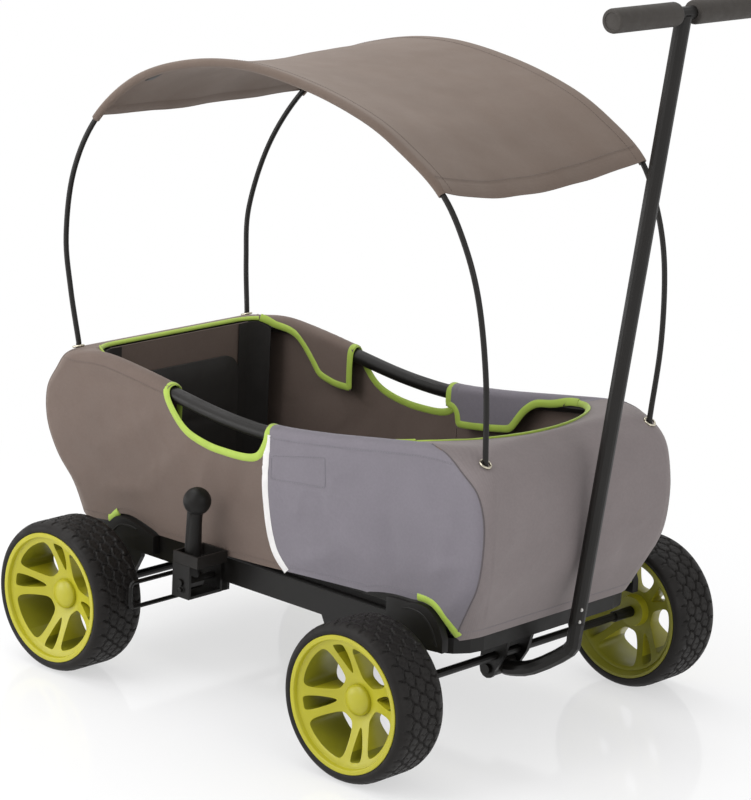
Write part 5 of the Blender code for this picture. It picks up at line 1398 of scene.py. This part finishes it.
def rear_pad():
    """The quilted backrest: a thin foam pad in black canvas, crowned."""
    half, top, low = 0.120, 0.388, 0.2075
    back, front = -0.3788, -0.3660
    count_y, count_z = 40, 32
    bm = bmesh.new()
    grid = []
    for j in range(count_z + 1):
        row = []
        for k in range(count_y + 1):
            u, v = k / count_y * 2 - 1, j / count_z
            y = half * u
            z = low + (top - low) * v
            # Round the two upper corners
            over_y, over_z = abs(y) - (half - 0.030), z - (top - 0.030)
            if over_y > 0 and over_z > 0:
                reach = sqrt(over_y ** 2 + over_z ** 2)
                most = max(over_y, over_z)
                y = (half - 0.030 + over_y * most / reach) * (1 if y > 0 else -1)
                z = top - 0.030 + over_z * most / reach
            crown = (1 - u ** 6) * (1 - (2 * v - 1) ** 6)
            crown = crown * (1 - 0.35 * exp(-((z - 0.300) / 0.006) ** 2))
            x = back + (front - back) * (0.30 + 0.70 * crown)
            row.append(bm.verts.new((x, y, z)))
        grid.append(row)
    for a, b in zip(grid, grid[1:]):
        for k in range(count_y):
            bm.faces.new((a[k], a[k + 1], b[k + 1], b[k]))
    edge = grid[0] + [r[-1] for r in grid[1:]] + grid[-1][-2::-1] + [r[0] for r in grid[-2:0:-1]]
    flat = [bm.verts.new((back, v.co.y, v.co.z)) for v in edge]
    for k in range(len(flat)):
        bm.faces.new((edge[k], edge[k - 1], flat[k - 1], flat[k]))
    bm.faces.new(flat)
    bmesh.ops.recalc_face_normals(bm, faces=bm.faces)
    pad = mesh_piece("rear_pad_sewn", bm)
    settle(pad, LINING, "chassis", 50.0)
    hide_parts("rear_pad")
    folds_with_tub(pad)


# The brake lever's axis and knob, and the tow bar's lower joint and grip end
BRAKE_AXIS = Vector((-0.095, -0.245, 0.168))
KNOB_RISE = 0.118
KNOB_RADIUS = 0.020
TOW_LOWER = Vector((0.409, 0.0, 0.185))
TOW_UPPER = Vector((0.5158, 0.0, 1.035))


def brake_details():
    """The ball-topped brake lever with its flared neck, and the screws of its bracket and guide."""
    profile = [(0.0, 0.020), (0.0116, 0.020), (0.0114, 0.035), (0.0108, 0.055), (0.0099, 0.072),
               (0.0092, 0.086), (0.0091, 0.0935), (0.0094, 0.0985), (0.0101, 0.1010)]
    # The neck flares softly into the ball
    for angle in [radians(a) for a in range(-58, 86, 8)]:
        profile.append((KNOB_RADIUS * cos(angle), KNOB_RISE + KNOB_RADIUS * sin(angle)))
    profile.append((0.0, KNOB_RISE + KNOB_RADIUS))
    stand(spun("brake_knob_round", profile, 48), BRAKE_AXIS, (0.0, radians(3), 0.0), BLACK_PLASTIC,
          "brake_hand_lever", 45.0, "brake_knob")
    screw("brake_bracket_screw", (-0.093, -0.2662, 0.158), (0.0, -1.0, 0.0), 0.0042, BLACK_PAINT)
    screw("brake_guide_screw_rear", (-0.123, -0.2025, 0.182), (0.0, -1.0, 0.0), 0.0034, ZINC)


def tow_details():
    """Rivets of the tow bar's joint, and the collar round it."""
    along = (TOW_UPPER - TOW_LOWER).normalized()
    side_way = Vector((0.80, -0.60, 0.0))
    for number, reach in enumerate((0.004, 0.022)):
        place = TOW_LOWER + along * reach + side_way * 0.0107
        bpy.ops.mesh.primitive_uv_sphere_add(segments=20, ring_count=12, radius=0.0030, location=place)
        rivet = bpy.context.object
        rivet.name = f"tow_rivet_{number}"
        rivet.scale = (1.0, 0.55, 1.0)
        settle(rivet, ZINC, "tow_bar", 60.0)
    # A thin collar closes the joint between the bent tube and the straight one
    path = [TOW_LOWER + along * k * 0.0006 - along * 0.0012 for k in range(5)]
    collar = strip("tow_joint_ring", path, [side_way] * 5, 0.0113, 0.0113, 32)
    settle(collar, GREY_PLASTIC, "tow_bar", 40.0)


def grips():
    """Foam grips with rounded ends and a flat plug in each end."""
    inner, outer, radius = 0.0183, 0.150, 0.016
    profile = [(0.0, inner), (0.0135, inner), (0.0152, inner + 0.0012), (radius, inner + 0.004),
               (radius, inner + 0.030), (radius, outer - 0.030), (radius, outer - 0.0042),
               (0.0153, outer - 0.0014), (0.0138, outer - 0.0004), (0.0110, outer - 0.0003),
               (0.0104, outer - 0.0014), (0.0, outer - 0.0012)]
    for side, word in SIDES:
        stand(spun(f"grip_{word}_foam", profile, 48), TOW_UPPER, (-side * QUARTER, 0.0, 0.0), FOAM,
              "tow_bar", 45.0, f"grip_{word}")


def housing(end, side, word):
    """A moulded corner cover: an arched plate with rounded edges, and a rib that follows its arch."""
    table = FRONT_CURVE if end == "front" else REAR_CURVE
    low, high = (0.246, 0.350) if end == "front" else (-0.310, -0.203)
    top = [(x, z - 0.0025) for x, z in table if low < x < high]
    outline = [(top[0][0], HOUSING_FOOT), (top[-1][0], HOUSING_FOOT), *top[::-1]]
    middle = side * (HOUSING_INNER + HOUSING_OUTER) / 2
    half = (HOUSING_OUTER - HOUSING_INNER) / 2
    cover = prism(f"{end}_housing_{word}_moulded", outline, -half, half)
    cover.rotation_euler = (QUARTER, 0.0, 0.0)
    cover.location = (0.0, middle, 0.0)
    apply_modifiers(cover)
    pick(cover)
    bpy.ops.object.transform_apply(location=True, rotation=True, scale=True)
    # The base frame stands in a seat cut out of the cover
    bpy.ops.mesh.primitive_cube_add(size=1.0, location=(0.0, 0.0, (0.162 + BASE_TOP) / 2))
    seat = bpy.context.object
    seat.scale = (1.2, 2 * BASE_HALF_WIDTH, BASE_TOP - 0.150)
    subtract(cover, seat)
    round_edges(cover, 0.0022, 3, 40.0)
    settle(cover, BLACK_PLASTIC, "chassis", 35.0)
    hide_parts(f"{end}_housing_{word}")
    arch = [(x, z) for x, z in top if z > 0.184 and (x > 0.285 or x < -0.25)]
    path = []
    for x, z in arch:
        inward = Vector((-0.010 if end == "front" else 0.010, 0.0, -0.010))
        path.append(Vector((x, side * (HOUSING_OUTER - 0.0002), z)) + inward)
    normals = [Vector((0.0, side, 0.0)) for _ in path]
    rib = strip(f"{end}_housing_rib_{word}", path, normals, 0.0016, 0.0012, 8)
    settle(rib, BLACK_PLASTIC, "chassis", 50.0)


def frame_details():
    """The corner covers, and the screws that hold the rear axle's brackets."""
    for direction, end in ENDS:
        for side, word in SIDES:
            if end == "rear":
                for number, step in enumerate((-0.030, 0.030)):
                    place = (direction * WHEELBASE / 2 + step, side * 0.1997, 0.178)
                    screw(f"axle_bracket_screw_{word}_{number}", place, (0.0, side, 0.0), 0.0036,
                          BLACK_PAINT)
            housing(end, side, word)


# Finishes of the CAD nodes that stay, where they aren't black paint
FINISHES = {
    "tow_bar_tube": TUBE_PAINT, "tow_bar_lower": TUBE_PAINT, "tow_cross_tube": TUBE_PAINT,
    "top_rail": TUBE_PAINT, "floor_board": BLACK_PLASTIC, "brake_guide": GREY_PLASTIC,
    "thrust_disc": BLACK_PLASTIC,
}


def dress_nodes():
    """Finishes for the CAD nodes that stay."""
    for name, node in NODES.items():
        look = FINISHES.get(name, BLACK_PLASTIC if "housing" in name else BLACK_PAINT)
        for material_slot in node.material_slots:
            material_slot.material = look


def aim_camera():
    """The camera at the place from which the wagon was photographed."""
    yaw, pitch, roll = 0.731, 0.255, 0.050
    back = Vector((sin(yaw) * cos(pitch), -cos(yaw) * cos(pitch), sin(pitch)))
    right = Vector((cos(yaw), sin(yaw), 0.0))
    up = back.cross(right)
    right_rolled = right * cos(roll) + up * sin(roll)
    up_rolled = up * cos(roll) - right * sin(roll)
    camera = bpy.data.objects.new("camera", bpy.data.cameras.new("camera"))
    bpy.context.scene.collection.objects.link(camera)
    camera.data.lens = 144.0
    camera.data.sensor_width = 36.0
    camera.data.clip_end = 100.0
    turn = Matrix((right_rolled, up_rolled, back)).transposed().to_4x4()
    camera.matrix_world = Matrix.Translation((2.975 + ORIGIN_X, -3.297, 1.571)) @ turn
    bpy.context.scene.camera = camera


def backdrop():
    """A glossy white studio floor that fades into white, and the white round it."""
    bpy.ops.mesh.primitive_plane_add(size=16.0, location=(0.0, 0.0, 0.0))
    ground = bpy.context.object
    ground.name = "studio_floor"
    material, tree, solid = new_material("White gloss studio floor")
    reach = add_node(tree, "VectorMath", {"operation": "LENGTH"}, _0=solid)
    fade = add_node(tree, "MapRange", {"interpolation_type": "SMOOTHSTEP"}, Value=reach.outputs["Value"],
                    From_Min=0.40, From_Max=1.35, To_Min=0.58, To_Max=1.0)
    sheet = add_node(tree, "BsdfPrincipled", Base_Color=linear("#f8f8f9"), Roughness=0.08, IOR=1.5)
    white = add_node(tree, "Emission", Color=linear("#ffffff"), Strength=1.0)
    path = add_node(tree, "LightPath").outputs
    seen = combined(tree, "MAXIMUM", path["Is Camera Ray"], path["Is Glossy Ray"])
    seen = combined(tree, "MAXIMUM", seen, path["Is Transmission Ray"])
    share = combined(tree, "MULTIPLY", seen, fade.outputs["Result"])
    close(tree, add_node(tree, "MixShader", _0=share, _1=sheet.outputs[0], _2=white.outputs[0]))
    ground.data.materials.append(material)

    world = bpy.data.worlds.new("studio")
    bpy.context.scene.world = world
    world.use_nodes = True
    tree = world.node_tree
    tree.nodes.clear()
    path = add_node(tree, "LightPath").outputs
    seen = combined(tree, "MAXIMUM", path["Is Camera Ray"], path["Is Transmission Ray"])
    lit = add_node(tree, "Background", Color=linear("#ffffff"), Strength=0.80)
    shown = add_node(tree, "Background", Color=linear("#ffffff"), Strength=1.0)
    mixed = add_node(tree, "MixShader", _0=seen, _1=lit.outputs[0], _2=shown.outputs[0])
    output = add_node(tree, "OutputWorld")
    tree.links.new(mixed.outputs[0], output.inputs["Surface"])


def lamp(name, place, target, size, power):
    """A soft square lamp aimed at a point."""
    light = bpy.data.lights.new(name, "AREA")
    light.shape = "SQUARE"
    light.size = size
    light.energy = power
    obj = bpy.data.objects.new(name, light)
    bpy.context.scene.collection.objects.link(obj)
    obj.location = place
    obj.rotation_euler = (Vector(place) - Vector(target)).to_track_quat("Z", "Y").to_euler()


def lights():
    """Soft studio light: overhead from the rear, a high one from the near side, and fills at both ends."""
    lamp("overhead", (-1.2, 0.0, 3.0), (-0.1, 0.0, 0.4), 2.6, 42.0)
    lamp("under_canopy", (-1.5, -1.5, 0.3), (-0.2, 0.0, 1.0), 0.9, 8.0)
    lamp("high_near", (-0.9, -2.4, 2.5), (0.0, 0.1, 0.3), 1.4, 24.0)
    lamp("front_left", (-0.6, -3.2, 1.5), (0.0, 0.0, 0.4), 1.6, 14.0)
    lamp("front_right", (3.2, -0.6, 1.5), (0.1, 0.0, 0.4), 1.4, 12.0)


aim_camera()
dress_nodes()
for side, word in SIDES:
    for end in ("rear", "front"):
        tub_side(end, side, word)
tub_end("rear")
tub_end("front")
canopy_sheet()
wheels()
bows()
rail_sleeve()
lining()
rear_pad()
eyelets()
brake_details()
tow_details()
grips()
frame_details()
backdrop()
lights()

bpy.context.scene.view_settings.view_transform = "Standard"
